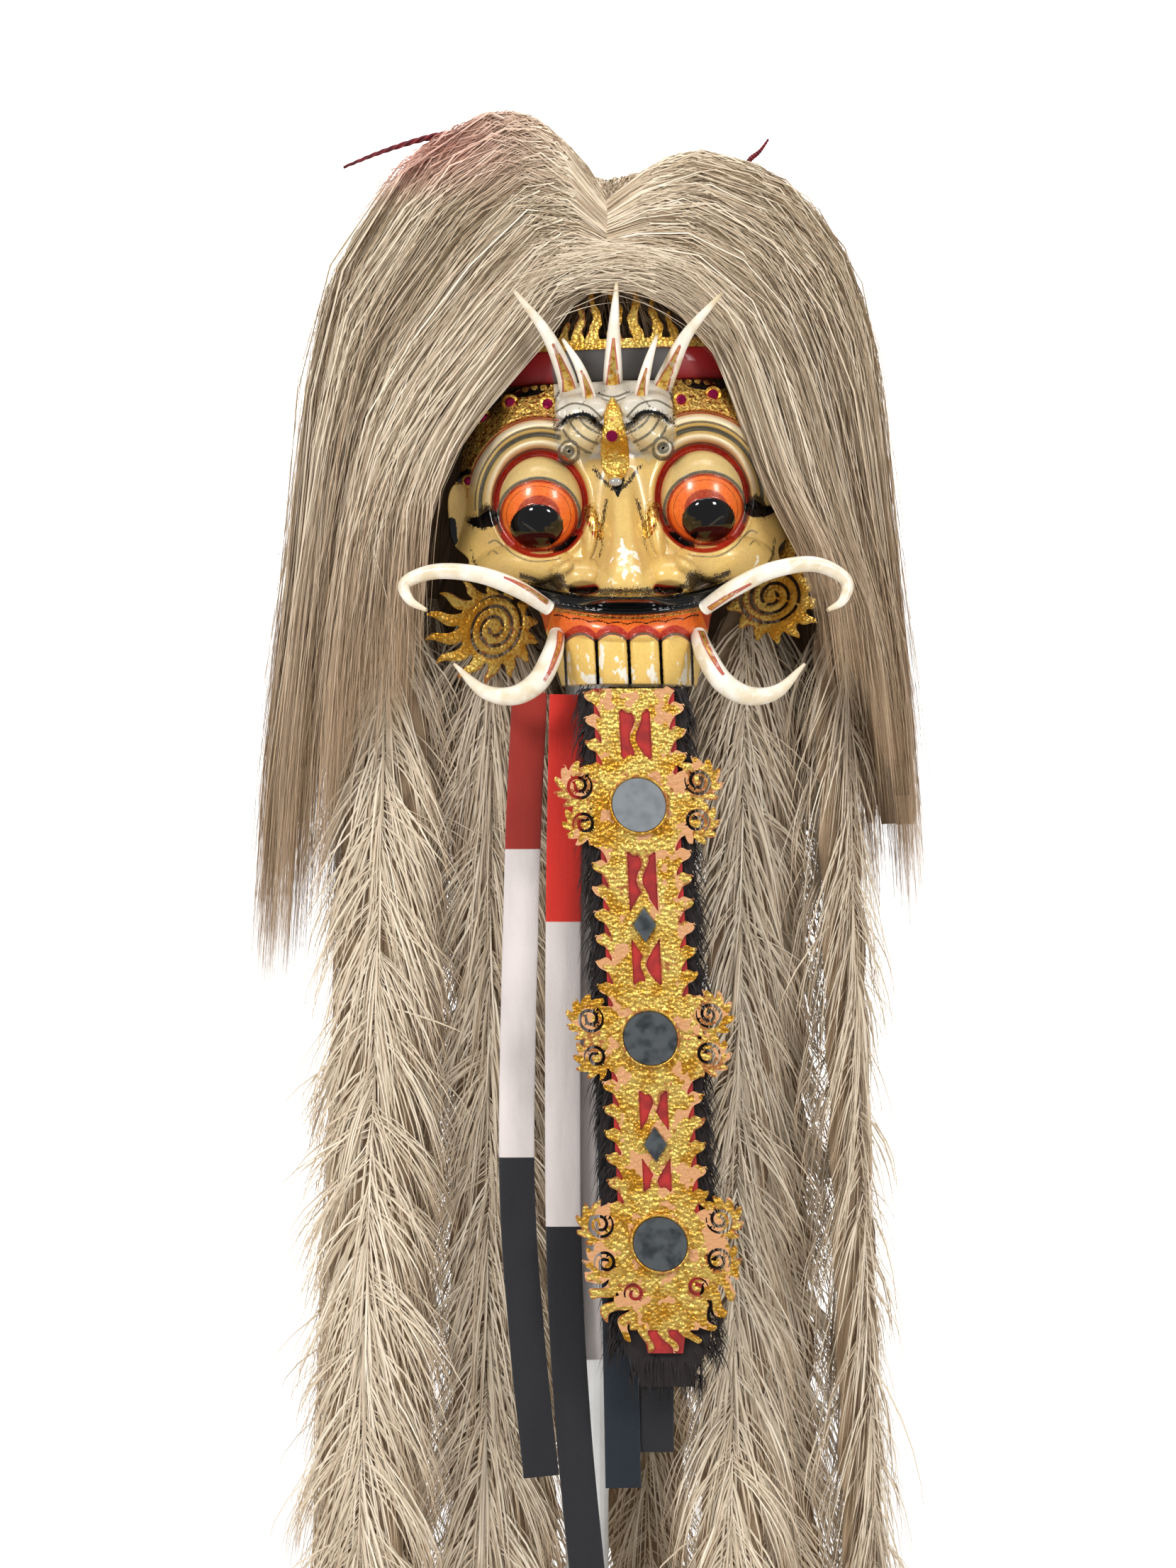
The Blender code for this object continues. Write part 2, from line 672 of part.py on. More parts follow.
def make_tongue(leather, fur, gold, glass):
    def slab(name, finish, low, high, width_of, steps, top=0.0, foot=1.0):
        bm = bmesh.new()
        rings = []
        for share in np.linspace(top, foot, steps):
            half = width_of(share)
            rings.append(
                [on_tongue(x, share, y) for x, y in ((-half, low), (half, low), (half, high), (-half, high))]
            )
        loft(bm, rings)
        return add_object(name, bm, finish)

    def leather_half(share):
        return 0.5 * TONGUE_WIDTH * (1 - 0.55 * float(ease(0.86, 0.97, share))) - 1 * MM

    def fur_half(share):
        tuft = (16 + 3 * math.sin(61 * share)) * MM
        return 0.5 * TONGUE_WIDTH + tuft - 22 * MM * float(ease(0.88, 1.0, share))

    slab("tongue", leather, -TONGUE_LEATHER, 0.0, leather_half, 12, foot=0.97)
    fur_face = -TONGUE_LEATHER - FIT_GAP
    slab("tongue_fur", fur, fur_face - TONGUE_FUR, fur_face, fur_half, 26, top=0.0, foot=1.04)

    edge = []
    flames = 28
    for k in range(flames):
        share = k / flames
        edge.append((tongue_half_width(share, 0.0), share))
        edge.append((tongue_half_width(share, 9 * MM), share + 0.15 / flames))
        edge.append((tongue_half_width(share, 2 * MM), share + 0.6 / flames))
    edge.append((12 * MM, 0.985))
    edge.append((2 * MM, 1.0))
    outline = edge + [(-x, share) for x, share in reversed(edge)]
    bm = bmesh.new()
    plate(bm, outline, lambda a, b, depth: on_tongue(a, b, FIT_GAP + depth), PLATE)
    gilding = add_object("tongue_gilding", bm, gold)
    for k, (top, foot, width) in enumerate(WINDOWS):
        bm = bmesh.new()
        half = width * TONGUE_WIDTH
        corners = ((-half, top), (half, top), (half, foot), (-half, foot))
        plate(bm, corners, lambda a, b, depth: on_tongue(a, b, depth - 5 * MM), PLATE + 10 * MM)
        cut(gilding, as_cutter(add_object(f"window_{k + 1}", bm, gold)))

    face_y = 2 * FIT_GAP + PLATE
    for k, share in enumerate(MIRROR_PLACES):
        bm = bmesh.new()
        rings = []
        for depth, radius in ((0, MIRROR_DIAMETER / 2), (MIRROR_THICKNESS, MIRROR_DIAMETER / 2 - 0.6 * MM)):
            ring = []
            for i in range(20):
                a = 2 * math.pi * i / 20
                down = share + radius * math.sin(a) / TONGUE_LENGTH
                ring.append(on_tongue(radius * math.cos(a), down, face_y + depth))
            rings.append(ring)
        loft(bm, rings)
        add_object(f"mirror_{k + 1}", bm, glass)
    for k, share in enumerate(DIAMOND_PLACES):
        corners = (
            (DIAMOND_WIDTH / 2, share),
            (0, share + DIAMOND_HEIGHT / 2 / TONGUE_LENGTH),
            (-DIAMOND_WIDTH / 2, share),
            (0, share - DIAMOND_HEIGHT / 2 / TONGUE_LENGTH),
        )
        bm = bmesh.new()
        plate(bm, corners, lambda a, b, depth: on_tongue(a, b, face_y + depth), MIRROR_THICKNESS)
        add_object(f"diamond_{k + 1}", bm, glass)


# Each strip: its name and its line from the top, as places across, back and up from the nose.
STRIPS = (
    ("strip_a", ((-49, -131, -129), (-55, -133, -271), (-60, -134, -526), (-52, -133, -671), (-39, -132, -799))),
    ("strip_b", ((-17, -132, -131), (-20, -134, -321), (-20, -134, -585), (-12, -133, -751), (3, -132, -909))),
    ("strip_c", ((16, -141, -131), (20, -143, -371), (27, -143, -611), (31, -142, -807))),
    ("strip_d", ((52, -138, -131), (54, -140, -371), (58, -140, -611), (59, -139, -777))),
    ("strip_e", ((-8, -119, -131), (-8, -120, -321), (-6, -120, -531), (-2, -119, -701))),
)


def make_strips(cloths):
    for (name, line), finish in zip(STRIPS, cloths):
        points = bend([Vector(place) * MM + Vector((0, 0, NOSE_HEIGHT)) for place in line], 8)
        bm = bmesh.new()
        flat = STRIP_THICKNESS / STRIP_WIDTH
        loft(bm, tube_rings(points, [STRIP_WIDTH / 2] * len(points), 8, flat))
        add_object(name, bm, finish)


# The hair. A strand starts at the parting and is read at shares of its way down, from 0 to 1.
SIDE_REACH = {-1: 316 * MM, 1: 290 * MM}
BACK_REACH = 172 * MM
FRONT_REACH = {-1: 216 * MM, 1: 250 * MM}
PARTING_X = 17 * MM
PARTING_FRONT = -140 * MM
PARTING_BACK = 60 * MM
CROWN_RISE = {-1: 76 * MM, 1: 44 * MM}
PARTING_RISE = 40 * MM
SIDE_OUT = ((0, 0.0), (0.1, 0.22), (0.2, 0.47), (0.3, 0.67), (0.42, 0.79), (0.6, 0.87), (0.8, 0.95), (1, 1.0))
SIDE_DOWN = (
    (0, 0.0), (0.1, -0.105), (0.2, -0.085), (0.3, 0.02), (0.42, 0.13), (0.6, 0.40), (0.8, 0.68), (1, 1.0)
)
FRONT_OUT = {
    -1: ((0, 0.0), (0.2, 0.34), (0.4, 0.70), (0.55, 0.86), (0.75, 0.98), (1, 1.04)),
    1: ((0, 0.0), (0.2, 0.46), (0.4, 0.63), (0.55, 0.72), (0.75, 0.93), (1, 1.03)),
}
FRONT_DOWN = ((0, 0.079), (0.2, 0.222), (0.4, 0.424), (0.55, 0.539), (0.75, 0.712), (1, 1.0))
FRONT_ANGLE = {-1: 235.0, 1: 320.0}
FRONT_FALL_BACK = {-1: 0.26, 1: 0.1}


def strand(side, along, share, lift=0.0):
    """A place on the outer face of the hair.

    along runs from the front edge, 0, to the middle of the back, 1. lift moves it out from the head.
    """
    start, back = FRONT_ANGLE[side], 90.0 if side < 0 else 450.0
    angle = math.radians(start + (back - start) * along)
    side_blend = float(ease(0.0, 0.3, along))
    front = (1 - side_blend) * float(through(FRONT_OUT[side], share))
    out = front + side_blend * float(through(SIDE_OUT, share))
    fall = (448 + 268 * side_blend) * MM
    down = (1 - side_blend) * float(through(FRONT_DOWN, share)) * fall
    side_down = float(through(SIDE_DOWN, share))
    middle = float(ease(0.6, 1.0, along))
    rise = ((1 - middle) * CROWN_RISE[side] + middle * PARTING_RISE) / (0.105 * fall)
    if side_down < 0:
        side_down *= rise
    down += side_blend * side_down * fall
    reach_x = SIDE_REACH[side] * (0.892 + 0.108 * side_blend)
    reach_y = BACK_REACH
    if math.sin(angle) < 0:
        reach_y = FRONT_REACH[side] * (1 - FRONT_FALL_BACK[side] * float(ease(0.58, 0.85, share)))
    origin_y = PARTING_FRONT + (PARTING_BACK - PARTING_FRONT) * along
    x = PARTING_X + side * PARTING_GAP / 2 + (reach_x * out + lift) * math.cos(angle)
    y = origin_y * (1 - out) + (reach_y * out + lift) * math.sin(angle)
    if along < 1:
        x_limit = PARTING_X + side * PARTING_GAP / 2
        x = min(x, x_limit) if side < 0 else max(x, x_limit)
    return Vector((x, y, PARTING_HEIGHT - down + lift * (1 - out)))


LOCKS = 9
LOCK_RELIEF = 5 * MM
LOCK_STEP = 0.085


def make_hair(finish):
    """Each half of the long straight hair: a thick curtain with lock-shaped folds and ragged ends."""
    columns, rows = 22, 10
    for name, side in (("hair_left", -1), ("hair_right", 1)):
        outer, inner = [], []
        for i in range(rows):
            outer_row, inner_row = [], []
            for j in range(columns):
                along = j / (columns - 1)
                ragged = 1 - LOCK_STEP * (j % 2 + 0.4 * (j % 3)) * (i / (rows - 1)) ** 3
                share = i / (rows - 1) * ragged
                thin = 0.75 - 0.75 * float(ease(0.8, 1.0, i / (rows - 1))) + 0.25 * float(ease(0, 0.15, along))
                fold = LOCK_RELIEF * math.cos(2 * math.pi * LOCKS * along) * float(ease(0.1, 0.4, share))
                outer_row.append(strand(side, along, share, fold - LOCK_RELIEF))
                inner_row.append(strand(side, along, share, -LOCK_RELIEF - HAIR_THICKNESS * thin))
                if i == 0:
                    inner_row[-1].z = outer_row[-1].z - HAIR_THICKNESS
            outer.append(outer_row)
            inner.append(inner_row)
        bm = bmesh.new()
        shell(bm, outer, inner)
        add_object(name, bm, finish)


# Each plume: its name, its top and foot across and back, the way it faces in degrees and its half width.
PLUMES = (
    ("plume_front_left", (-171, -53), (-202, -105), 262, 58),
    ("plume_inner_left", (-82, -44), (-89, -40), 268, 44),
    ("plume_front_right", (139, -38), (119, -118), 272, 46),
    ("plume_inner_right", (152, 6), (172, -68), 275, 44),
    ("plume_side_right", (215, -36), (249, -52), 325, 46),
    ("plume_side_left", (-198, 8), (-235, 12), 180, 46),
    ("plume_back_left", (-145, 60), (-180, 94), 132, 47),
    ("plume_rear_left", (-58, 92), (-66, 136), 98, 48),
    ("plume_rear_right", (52, 92), (56, 136), 86, 48),
    ("plume_back_right", (142, 60), (180, 94), 52, 47),
)
PLUME_TOP = NOSE_HEIGHT - 41 * MM


def plume_place(top, foot, share):
    """The middle of a plume at a share of its way down."""
    x = (top[0] + (foot[0] - top[0]) * share) * MM
    y = (top[1] + (foot[1] - top[1]) * share) * MM
    return Vector((x, y, PLUME_TOP + (PLUME_FOOT - PLUME_TOP) * share))


def make_plumes(finish):
    """Long fluffy ropes of hair whose tufts fall outwards in tiers, like a fir tree upside up."""
    for name, top, foot, facing, half_width in PLUMES:
        a = math.radians(facing)
        across = Vector((-math.sin(a), math.cos(a), 0))
        forward = Vector((math.cos(a), math.sin(a), 0))
        bm = bmesh.new()
        rings = []
        for i in range(2 * PLUME_TIERS + 1):
            share = i / (2 * PLUME_TIERS)
            wide = 1.0 if i % 2 else 0.72
            if i == 0:
                wide = 0.45
            middle = plume_place(top, foot, share)
            sag = (30 if i % 2 else 8) * MM * float(ease(0, 0.1, share)) * (1 - float(ease(0.9, 1, share)))
            ring = []
            for k in range(8):
                turn = 2 * math.pi * k / 8
                side_way = half_width * MM * wide * math.cos(turn)
                deep = PLUME_THICKNESS / 2 * (0.75 + 0.25 * wide) * math.sin(turn)
                drop = sag * abs(math.cos(turn))
                ring.append(middle + side_way * across + deep * forward - Vector((0, 0, drop)))
            rings.append(ring)
        loft(bm, rings)
        add_object(name, bm, finish)


# Each leather thong on the hair: its name and its line, as places across, back and up from the nose.
THONGS = (
    ("thong_left", ((-100, -30, 366), (-140, -34, 359), (-180, -38, 346), (-213, -42, 332))),
    ("thong_right", ((138, -15, 331), (143, -15, 342), (152, -13, 350), (160, -11, 361))),
)


def make_thongs(finish):
    for name, line in THONGS:
        points = bend([Vector(place) * MM + Vector((0, 0, NOSE_HEIGHT)) for place in line], 9)
        radii = [(5 - 3.4 * k / 8) * MM for k in range(9)]
        bm = bmesh.new()
        loft(bm, tube_rings(points, radii, 6))
        add_object(name, bm, finish)


def cap_place(share, turn, inset):
    """A place on the cap: share from its top, 0, down its side, 1."""
    a = math.radians(90 * share)
    return Vector(
        (
            CAP_X + (CAP_HALF_WIDTH - inset) * math.sin(a) * math.cos(turn),
            FACE_RIM_Y + FIT_GAP + CAP_HALF_DEPTH + (CAP_HALF_DEPTH - inset) * math.sin(a) * math.sin(turn),
            NOSE_HEIGHT + CAP_RISE - CAP_HEIGHT + (CAP_HEIGHT - inset) * math.cos(a),
        )
    )


def make_cap(finish):
    """The woven helmet under the hair, open below."""
    sides = 16
    turns = [2 * math.pi * k / sides for k in range(sides)]
    shares = [0.08, 0.3, 0.55, 0.8, 1.0]
    outer = [[cap_place(share, turn, 0) for turn in turns] for share in shares]
    inner = [[cap_place(share, turn, CAP_WALL) for turn in turns] for share in reversed(shares)]
    bm = bmesh.new()
    loft(bm, outer + inner)
    add_object("cap", bm, finish)


def turned(bm, profile, centre, sides):
    """Spins a profile of (radius, height) points about an upright axis."""
    rings = []
    for radius, height in profile:
        turns = (2 * math.pi * k / sides for k in range(sides))
        rings.append([centre + Vector((radius * math.cos(a), radius * math.sin(a), height)) for a in turns])
    loft(bm, rings)


def make_stand(paint):
    radius = BASE_DIAMETER / 2
    bm = bmesh.new()
    profile = [(radius - BASE_EDGE / 2, 0), (radius, BASE_EDGE / 2), (radius, BASE_THICKNESS - BASE_EDGE)]
    profile += [(radius - BASE_EDGE, BASE_THICKNESS)]
    turned(bm, profile, Vector((0, 0, 0)), 48)
    add_object("stand_base", bm, paint)

    def under_cap(radius):
        """How high the rest comes at a radius from the post, under the cap's dome and its felt pad."""
        reach = radius + abs(CAP_X) + FIT_GAP
        dome = CAP_HEIGHT - CAP_WALL
        hollow = min(CAP_HALF_WIDTH, CAP_HALF_DEPTH) * math.cos(math.pi / 16) - CAP_WALL - FIT_GAP
        return NOSE_HEIGHT + CAP_RISE - CAP_HEIGHT + dome * math.sqrt(1 - (reach / hollow) ** 2) - REST_PAD

    rest_radius = REST_WIDTH / 2
    rest_low = under_cap(0) - REST_HEIGHT
    bm = bmesh.new()
    post_radius = POST_DIAMETER / 2
    profile = [(post_radius, BASE_THICKNESS + FIT_GAP), (post_radius, rest_low - FIT_GAP)]
    turned(bm, profile, Vector((0, 0, 0)), 20)
    add_object("stand_post", bm, paint)
    bm = bmesh.new()
    profile = [(0.7 * rest_radius, rest_low), (0.9 * rest_radius, rest_low + 0.04 * REST_HEIGHT)]
    profile += [(share * rest_radius, under_cap(share * rest_radius)) for share in (1.0, 0.85, 0.65, 0.4, 0.1)]
    turned(bm, profile, Vector((0, 0, 0)), 20)
    add_object("stand_rest", bm, paint)


def main():
    clear_scene()
    cream = material("cream_paint", (0.72, 0.50, 0.20), 0.25)
    ivory = material("ivory_paint", (0.84, 0.78, 0.68), 0.35)
    gold = material("gilding", (0.72, 0.45, 0.10), 0.35, 0.8)
    crimson = material("crimson_cloth", (0.35, 0.02, 0.02), 0.8)
    leather = material("red_leather", (0.40, 0.03, 0.02), 0.7)
    fur = material("dark_fur", (0.02, 0.012, 0.01), 0.9)
    glass = material("mirror_glass", (0.5, 0.52, 0.52), 0.1, 0.9)
    white_cloth = material("white_cloth", (0.55, 0.50, 0.50), 0.9)
    black_cloth = material("black_cloth", (0.015, 0.016, 0.02), 0.9)
    hair = material("pale_hair", (0.50, 0.40, 0.28), 0.6)
    rattan = material("rattan", (0.30, 0.19, 0.09), 0.7)
    thong = material("thong_leather", (0.22, 0.02, 0.03), 0.6)
    white_paint = material("stand_paint", (0.85, 0.85, 0.84), 0.5)

    cutters = make_horns_and_tusks(ivory, gold)
    make_face(cutters, cream)
    make_crown(crimson, gold)
    make_ears(gold)
    make_tongue(leather, fur, gold, glass)
    make_strips((crimson, crimson, black_cloth, black_cloth, white_cloth))
    make_hair(hair)
    make_plumes(hair)
    make_thongs(thong)
    make_cap(rattan)
    make_stand(white_paint)


main()
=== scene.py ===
"""The demon mask's finished look: painted carving, gilded leather, sewn cloth, fur and long hair."""

import math

import bmesh
import bpy
import numpy as np
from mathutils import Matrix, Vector


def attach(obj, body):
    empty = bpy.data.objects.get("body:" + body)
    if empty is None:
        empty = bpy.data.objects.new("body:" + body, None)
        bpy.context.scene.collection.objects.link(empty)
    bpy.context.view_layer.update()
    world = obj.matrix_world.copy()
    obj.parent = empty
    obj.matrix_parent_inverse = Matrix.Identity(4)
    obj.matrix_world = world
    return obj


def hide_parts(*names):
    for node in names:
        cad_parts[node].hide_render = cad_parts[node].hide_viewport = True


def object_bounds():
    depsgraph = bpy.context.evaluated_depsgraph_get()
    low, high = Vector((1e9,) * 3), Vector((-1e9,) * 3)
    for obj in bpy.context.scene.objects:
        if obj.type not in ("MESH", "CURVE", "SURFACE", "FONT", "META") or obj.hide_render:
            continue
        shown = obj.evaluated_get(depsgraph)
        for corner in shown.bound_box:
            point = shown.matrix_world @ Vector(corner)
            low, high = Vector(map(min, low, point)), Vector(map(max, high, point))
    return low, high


MM = 0.001
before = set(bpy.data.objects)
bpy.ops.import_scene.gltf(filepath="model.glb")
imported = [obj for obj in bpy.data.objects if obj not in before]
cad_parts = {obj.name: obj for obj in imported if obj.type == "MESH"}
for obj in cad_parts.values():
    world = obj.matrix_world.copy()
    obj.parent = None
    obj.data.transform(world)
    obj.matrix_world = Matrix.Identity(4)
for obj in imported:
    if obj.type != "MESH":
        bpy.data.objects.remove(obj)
cad_low, cad_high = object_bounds()
dice = np.random.default_rng(11)


# Curves and swellings

def through(keys, at):
    """A smooth curve through (place, value) keys, read at each place in at."""
    places, values = (np.array(column, float) for column in zip(*keys))
    slopes = np.gradient(values, places)
    at = np.clip(np.asarray(at, float), places[0], places[-1])
    i = np.clip(np.searchsorted(places, at, side="right") - 1, 0, len(places) - 2)
    span = places[i + 1] - places[i]
    t = (at - places[i]) / span
    return (
        (1 + 2 * t) * (1 - t) ** 2 * values[i]
        + t * (1 - t) ** 2 * span * slopes[i]
        + t * t * (3 - 2 * t) * values[i + 1]
        + t * t * (t - 1) * span * slopes[i + 1]
    )


def ease(low, high, x):
    t = np.clip((np.asarray(x, float) - low) / (high - low), 0, 1)
    return t * t * (3 - 2 * t)


def swell(u, v, centre, radii, power=0.5):
    """An oval swelling: 1 in its middle and 0 outside its radii."""
    q = ((u - centre[0]) / radii[0]) ** 2 + ((v - centre[1]) / radii[1]) ** 2
    return np.clip(1 - q, 0, 1) ** power


def hump(x, middle, width):
    """A soft ridge: 1 along its middle, falling away on both sides."""
    return np.exp(-(((x - middle) / width) ** 2))


def unit(vectors):
    return vectors / np.maximum(np.linalg.norm(vectors, axis=-1, keepdims=True), 1e-9)


def to_line(x, y, line):
    """How far each place is from a bent line, and how far along the line its nearest point is, 0 to 1."""
    line = np.array(line, float)
    lengths = np.hypot(*np.diff(line, axis=0).T)
    total, best, share, before = lengths.sum(), np.full(np.shape(x), 1e9), np.zeros(np.shape(x)), 0.0
    for (x0, y0), (x1, y1), length in zip(line, line[1:], lengths):
        t = np.clip(((x - x0) * (x1 - x0) + (y - y0) * (y1 - y0)) / length**2, 0, 1)
        away = np.hypot(x - x0 - t * (x1 - x0), y - y0 - t * (y1 - y0))
        nearer = away < best
        best = np.where(nearer, away, best)
        share = np.where(nearer, (before + t * length) / total, share)
        before += length
    return best, share


def stroke(x, y, line, start, end=None):
    """Above 0 inside a painted stroke that is start wide at its first point and end wide at its last."""
    smooth = line if len(line) < 3 else bend(line, 6 * len(line))
    away, share = to_line(x, y, smooth)
    end = start if end is None else end
    return (start + (end - start) * share) / 2 - away


# Meshes

def add_mesh(name, points, face_sets, finish, closed=True):
    """A mesh from an array of points and arrays of faces, turned to face out if it is closed."""
    face_sets = [np.asarray(faces) for faces in face_sets if len(faces)]
    sizes = np.concatenate([np.full(len(faces), faces.shape[1]) for faces in face_sets])
    corners = np.concatenate([faces.ravel() for faces in face_sets]).astype(np.int32)
    mesh = bpy.data.meshes.new(name)
    mesh.vertices.add(len(points))
    mesh.vertices.foreach_set("co", np.ascontiguousarray(points, np.float32).ravel())
    mesh.loops.add(len(corners))
    mesh.loops.foreach_set("vertex_index", corners)
    mesh.polygons.add(len(sizes))
    mesh.polygons.foreach_set("loop_start", np.concatenate(([0], np.cumsum(sizes)[:-1])).astype(np.int32))
    mesh.update(calc_edges=True)
    mesh.shade_smooth()
    if closed:
        volume = 0.0
        for faces in face_sets:
            for k in range(1, faces.shape[1] - 1):
                a, b, c = (points[faces[:, i]] for i in (0, k, k + 1))
                volume += np.einsum("ij,ij->", a, np.cross(b, c))
        if volume < 0:
            mesh.flip_normals()
    obj = bpy.data.objects.new(name, mesh)
    mesh.materials.append(finish)
    bpy.context.scene.collection.objects.link(obj)
    return obj


def keep(obj, name, values):
    """Stores one number a point, which the finish reads by its name."""
    layer = obj.data.attributes.new(name, "FLOAT", "POINT")
    layer.data.foreach_set("value", np.ascontiguousarray(values, np.float32).ravel())


def cells(at):
    """The four-sided faces between a grid's points, which at numbers row by row."""
    return np.stack((at[:-1, :-1], at[:-1, 1:], at[1:, 1:], at[1:, :-1]), -1).reshape(-1, 4)


def shell_faces(rows, columns):
    """Faces of two grids of points, the outer first, joined round their four edges."""
    count = rows * columns
    at = np.arange(count).reshape(rows, columns)
    sides = []
    for line, forward in ((at[0], False), (at[-1], True), (at[:, 0], True), (at[:, -1], False)):
        a, b = (line[:-1], line[1:]) if forward else (line[1:], line[:-1])
        sides.append(np.stack((a, b, b + count, a + count), -1))
    return [cells(at), cells(at + count)[:, ::-1], *sides]


def ring_faces(rows, sides):
    """Faces between the rings of a tube, and one flat face for each of its ends."""
    at = np.arange(rows * sides).reshape(rows, sides)
    return cells(np.concatenate((at, at[:, :1]), 1)), at[:1], at[-1:, ::-1]


def swept(points, radii, turns, flat=1.0):
    """Rings of points round a line: radii wide across it, and flat times that from front to back."""
    along = unit(np.gradient(points, axis=0))
    across = unit(np.cross(along, (0, -1, 0.02)))
    deep = unit(np.cross(across, along))
    return (
        points[:, None]
        + (radii * np.cos(turns))[..., None] * across[:, None]
        + (radii * flat * np.sin(turns))[..., None] * deep[:, None]
    )


def tube(points, radii, sides):
    """Points and faces of a tube with pointed ends: radii has one radius a ring, or one for each point."""
    points, radii = np.asarray(points, float), np.asarray(radii, float)
    radii = radii if radii.ndim == 2 else radii[:, None] * np.ones(sides)
    rings = swept(points, radii, np.linspace(0, 2 * np.pi, sides, endpoint=False))
    body, (foot,), (tip,) = ring_faces(len(points), sides)
    first_end = len(points) * sides
    fans = [
        np.stack((ring, np.roll(ring, -1), np.full(sides, end)), -1)
        for ring, end in ((foot, first_end), (tip, first_end + 1))
    ]
    return np.concatenate((rings.reshape(-1, 3), points[:1], points[-1:])), [body, *fans]


def bend(line, steps):
    """A smooth line of evenly spaced steps through a few points."""
    line = np.asarray(line, float)
    stops, at = np.linspace(0, 1, len(line)), np.linspace(0, 1, steps)
    return np.stack([through(list(zip(stops, line[:, k])), at) for k in range(line.shape[1])], -1)


def ribbons(name, paths, widths, outward, finish, tints):
    """One mesh of thin flat hairs: paths is hairs by points by 3, outward the way each hair faces."""
    hairs, steps = paths.shape[:2]
    along = unit(np.gradient(paths, axis=1))
    side = unit(np.cross(along, outward)) * widths[..., None] / 2
    points = np.stack((paths - side, paths + side), 2)
    at = np.arange(hairs * steps * 2).reshape(hairs, steps, 2)
    faces = np.stack((at[:, :-1, 0], at[:, :-1, 1], at[:, 1:, 1], at[:, 1:, 0]), -1).reshape(-1, 4)
    obj = add_mesh(name, points.reshape(-1, 3), [faces], finish, closed=False)
    keep(obj, "tint", np.repeat(tints, steps * 2))
    keep(obj, "share", np.tile(np.repeat(np.linspace(0, 1, steps), 2), hairs))
    keep(obj, "edge", np.tile((0.0, 1.0), hairs * steps))
    return obj


def join(name, pieces, finish):
    """Makes one mesh of several (points, face sets) pieces."""
    face_sets, start = [], 0
    for points, faces in pieces:
        face_sets += [one_set + start for one_set in faces]
        start += len(points)
    return add_mesh(name, np.concatenate([points for points, _ in pieces]), face_sets, finish)


def pierced(name, shape, low, high, step, place, thickness, relief, finish):
    """A thin plate cut to where shape(x, y) is above 0, with its front raised by relief(x, y).

    place(x, y, out) puts the plate's own places in the world.
    """
    columns, rows = (int(round((high[k] - low[k]) / step)) + 1 for k in (0, 1))
    x, y = np.meshgrid(np.linspace(low[0], high[0], columns), np.linspace(low[1], high[1], rows))
    x, y = x.ravel(), y.ravel()
    inside = shape(x, y) > -0.2 * step
    faces = cells(np.arange(rows * columns).reshape(rows, columns))
    faces = faces[inside[faces].all(1)]
    used, faces = np.unique(faces, return_inverse=True)
    faces = faces.reshape(-1, 4)
    x, y = x[used], y[used]
    edges = np.sort(np.stack((faces, np.roll(faces, -1, 1)), -1).reshape(-1, 2), 1)
    pairs, counts = np.unique(edges, axis=0, return_counts=True)
    rim = np.unique(pairs[counts == 1])
    aside = 0.05
    for _ in range(3):
        f = shape(x[rim], y[rim])
        fx = (shape(x[rim] + aside, y[rim]) - f) / aside
        fy = (shape(x[rim], y[rim] + aside) - f) / aside
        move = np.clip(f / np.maximum(fx * fx + fy * fy, 0.05), -0.4 * step, 0.4 * step)
        x[rim] -= move * fx
        y[rim] -= move * fy
    front = place(x, y, thickness + relief(x, y))
    back = place(x, y, 0 * x)
    count = len(x)
    loops = np.stack((faces, np.roll(faces, -1, 1)), -1).reshape(-1, 2)
    keys = set(map(tuple, pairs[counts == 1]))
    open_edges = np.array([pair for pair in loops.tolist() if tuple(sorted(pair)) in keys])
    a, b = open_edges.T
    walls = np.stack((b, a, a + count, b + count), -1)
    obj = add_mesh(name, np.concatenate((front, back)), [faces, faces[:, ::-1] + count, walls], finish)
    keep(obj, "brink", np.tile(1 - np.clip(shape(x, y) / 2.2, 0, 1), 2))
    obj.data.set_sharp_from_angle(angle=math.radians(50))
    return obj


def from_bmesh(name, bm, finish, smooth=True):
    bmesh.ops.recalc_face_normals(bm, faces=bm.faces)
    mesh = bpy.data.meshes.new(name)
    bm.to_mesh(mesh)
    bm.free()
    if smooth:
        mesh.shade_smooth()
        mesh.set_sharp_from_angle(angle=math.radians(40))
    obj = bpy.data.objects.new(name, mesh)
    mesh.materials.append(finish)
    bpy.context.scene.collection.objects.link(obj)
    return obj


def set_in(name, bm, place, finish, smooth=True):
    """Finishes a small shape, with place(x, y, z) giving where each of its points goes."""
    for vertex in bm.verts:
        vertex.co = Vector(place(*vertex.co))
    return from_bmesh(name, bm, finish, smooth)


def settle(piece, node=None):
    """Gives a piece its body, and hides the frame's node that it stands for."""
    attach(piece, "root")
    if node:
        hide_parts(node)


# Finishes

def rgb(red, green, blue):
    """A colour as it looks on a screen, 0 to 255, made ready for a shader."""
    shares = (max(0, v) / 255 for v in (red, green, blue))
    return tuple(v / 12.92 if v < 0.04045 else ((v + 0.055) / 1.055) ** 2.4 for v in shares)


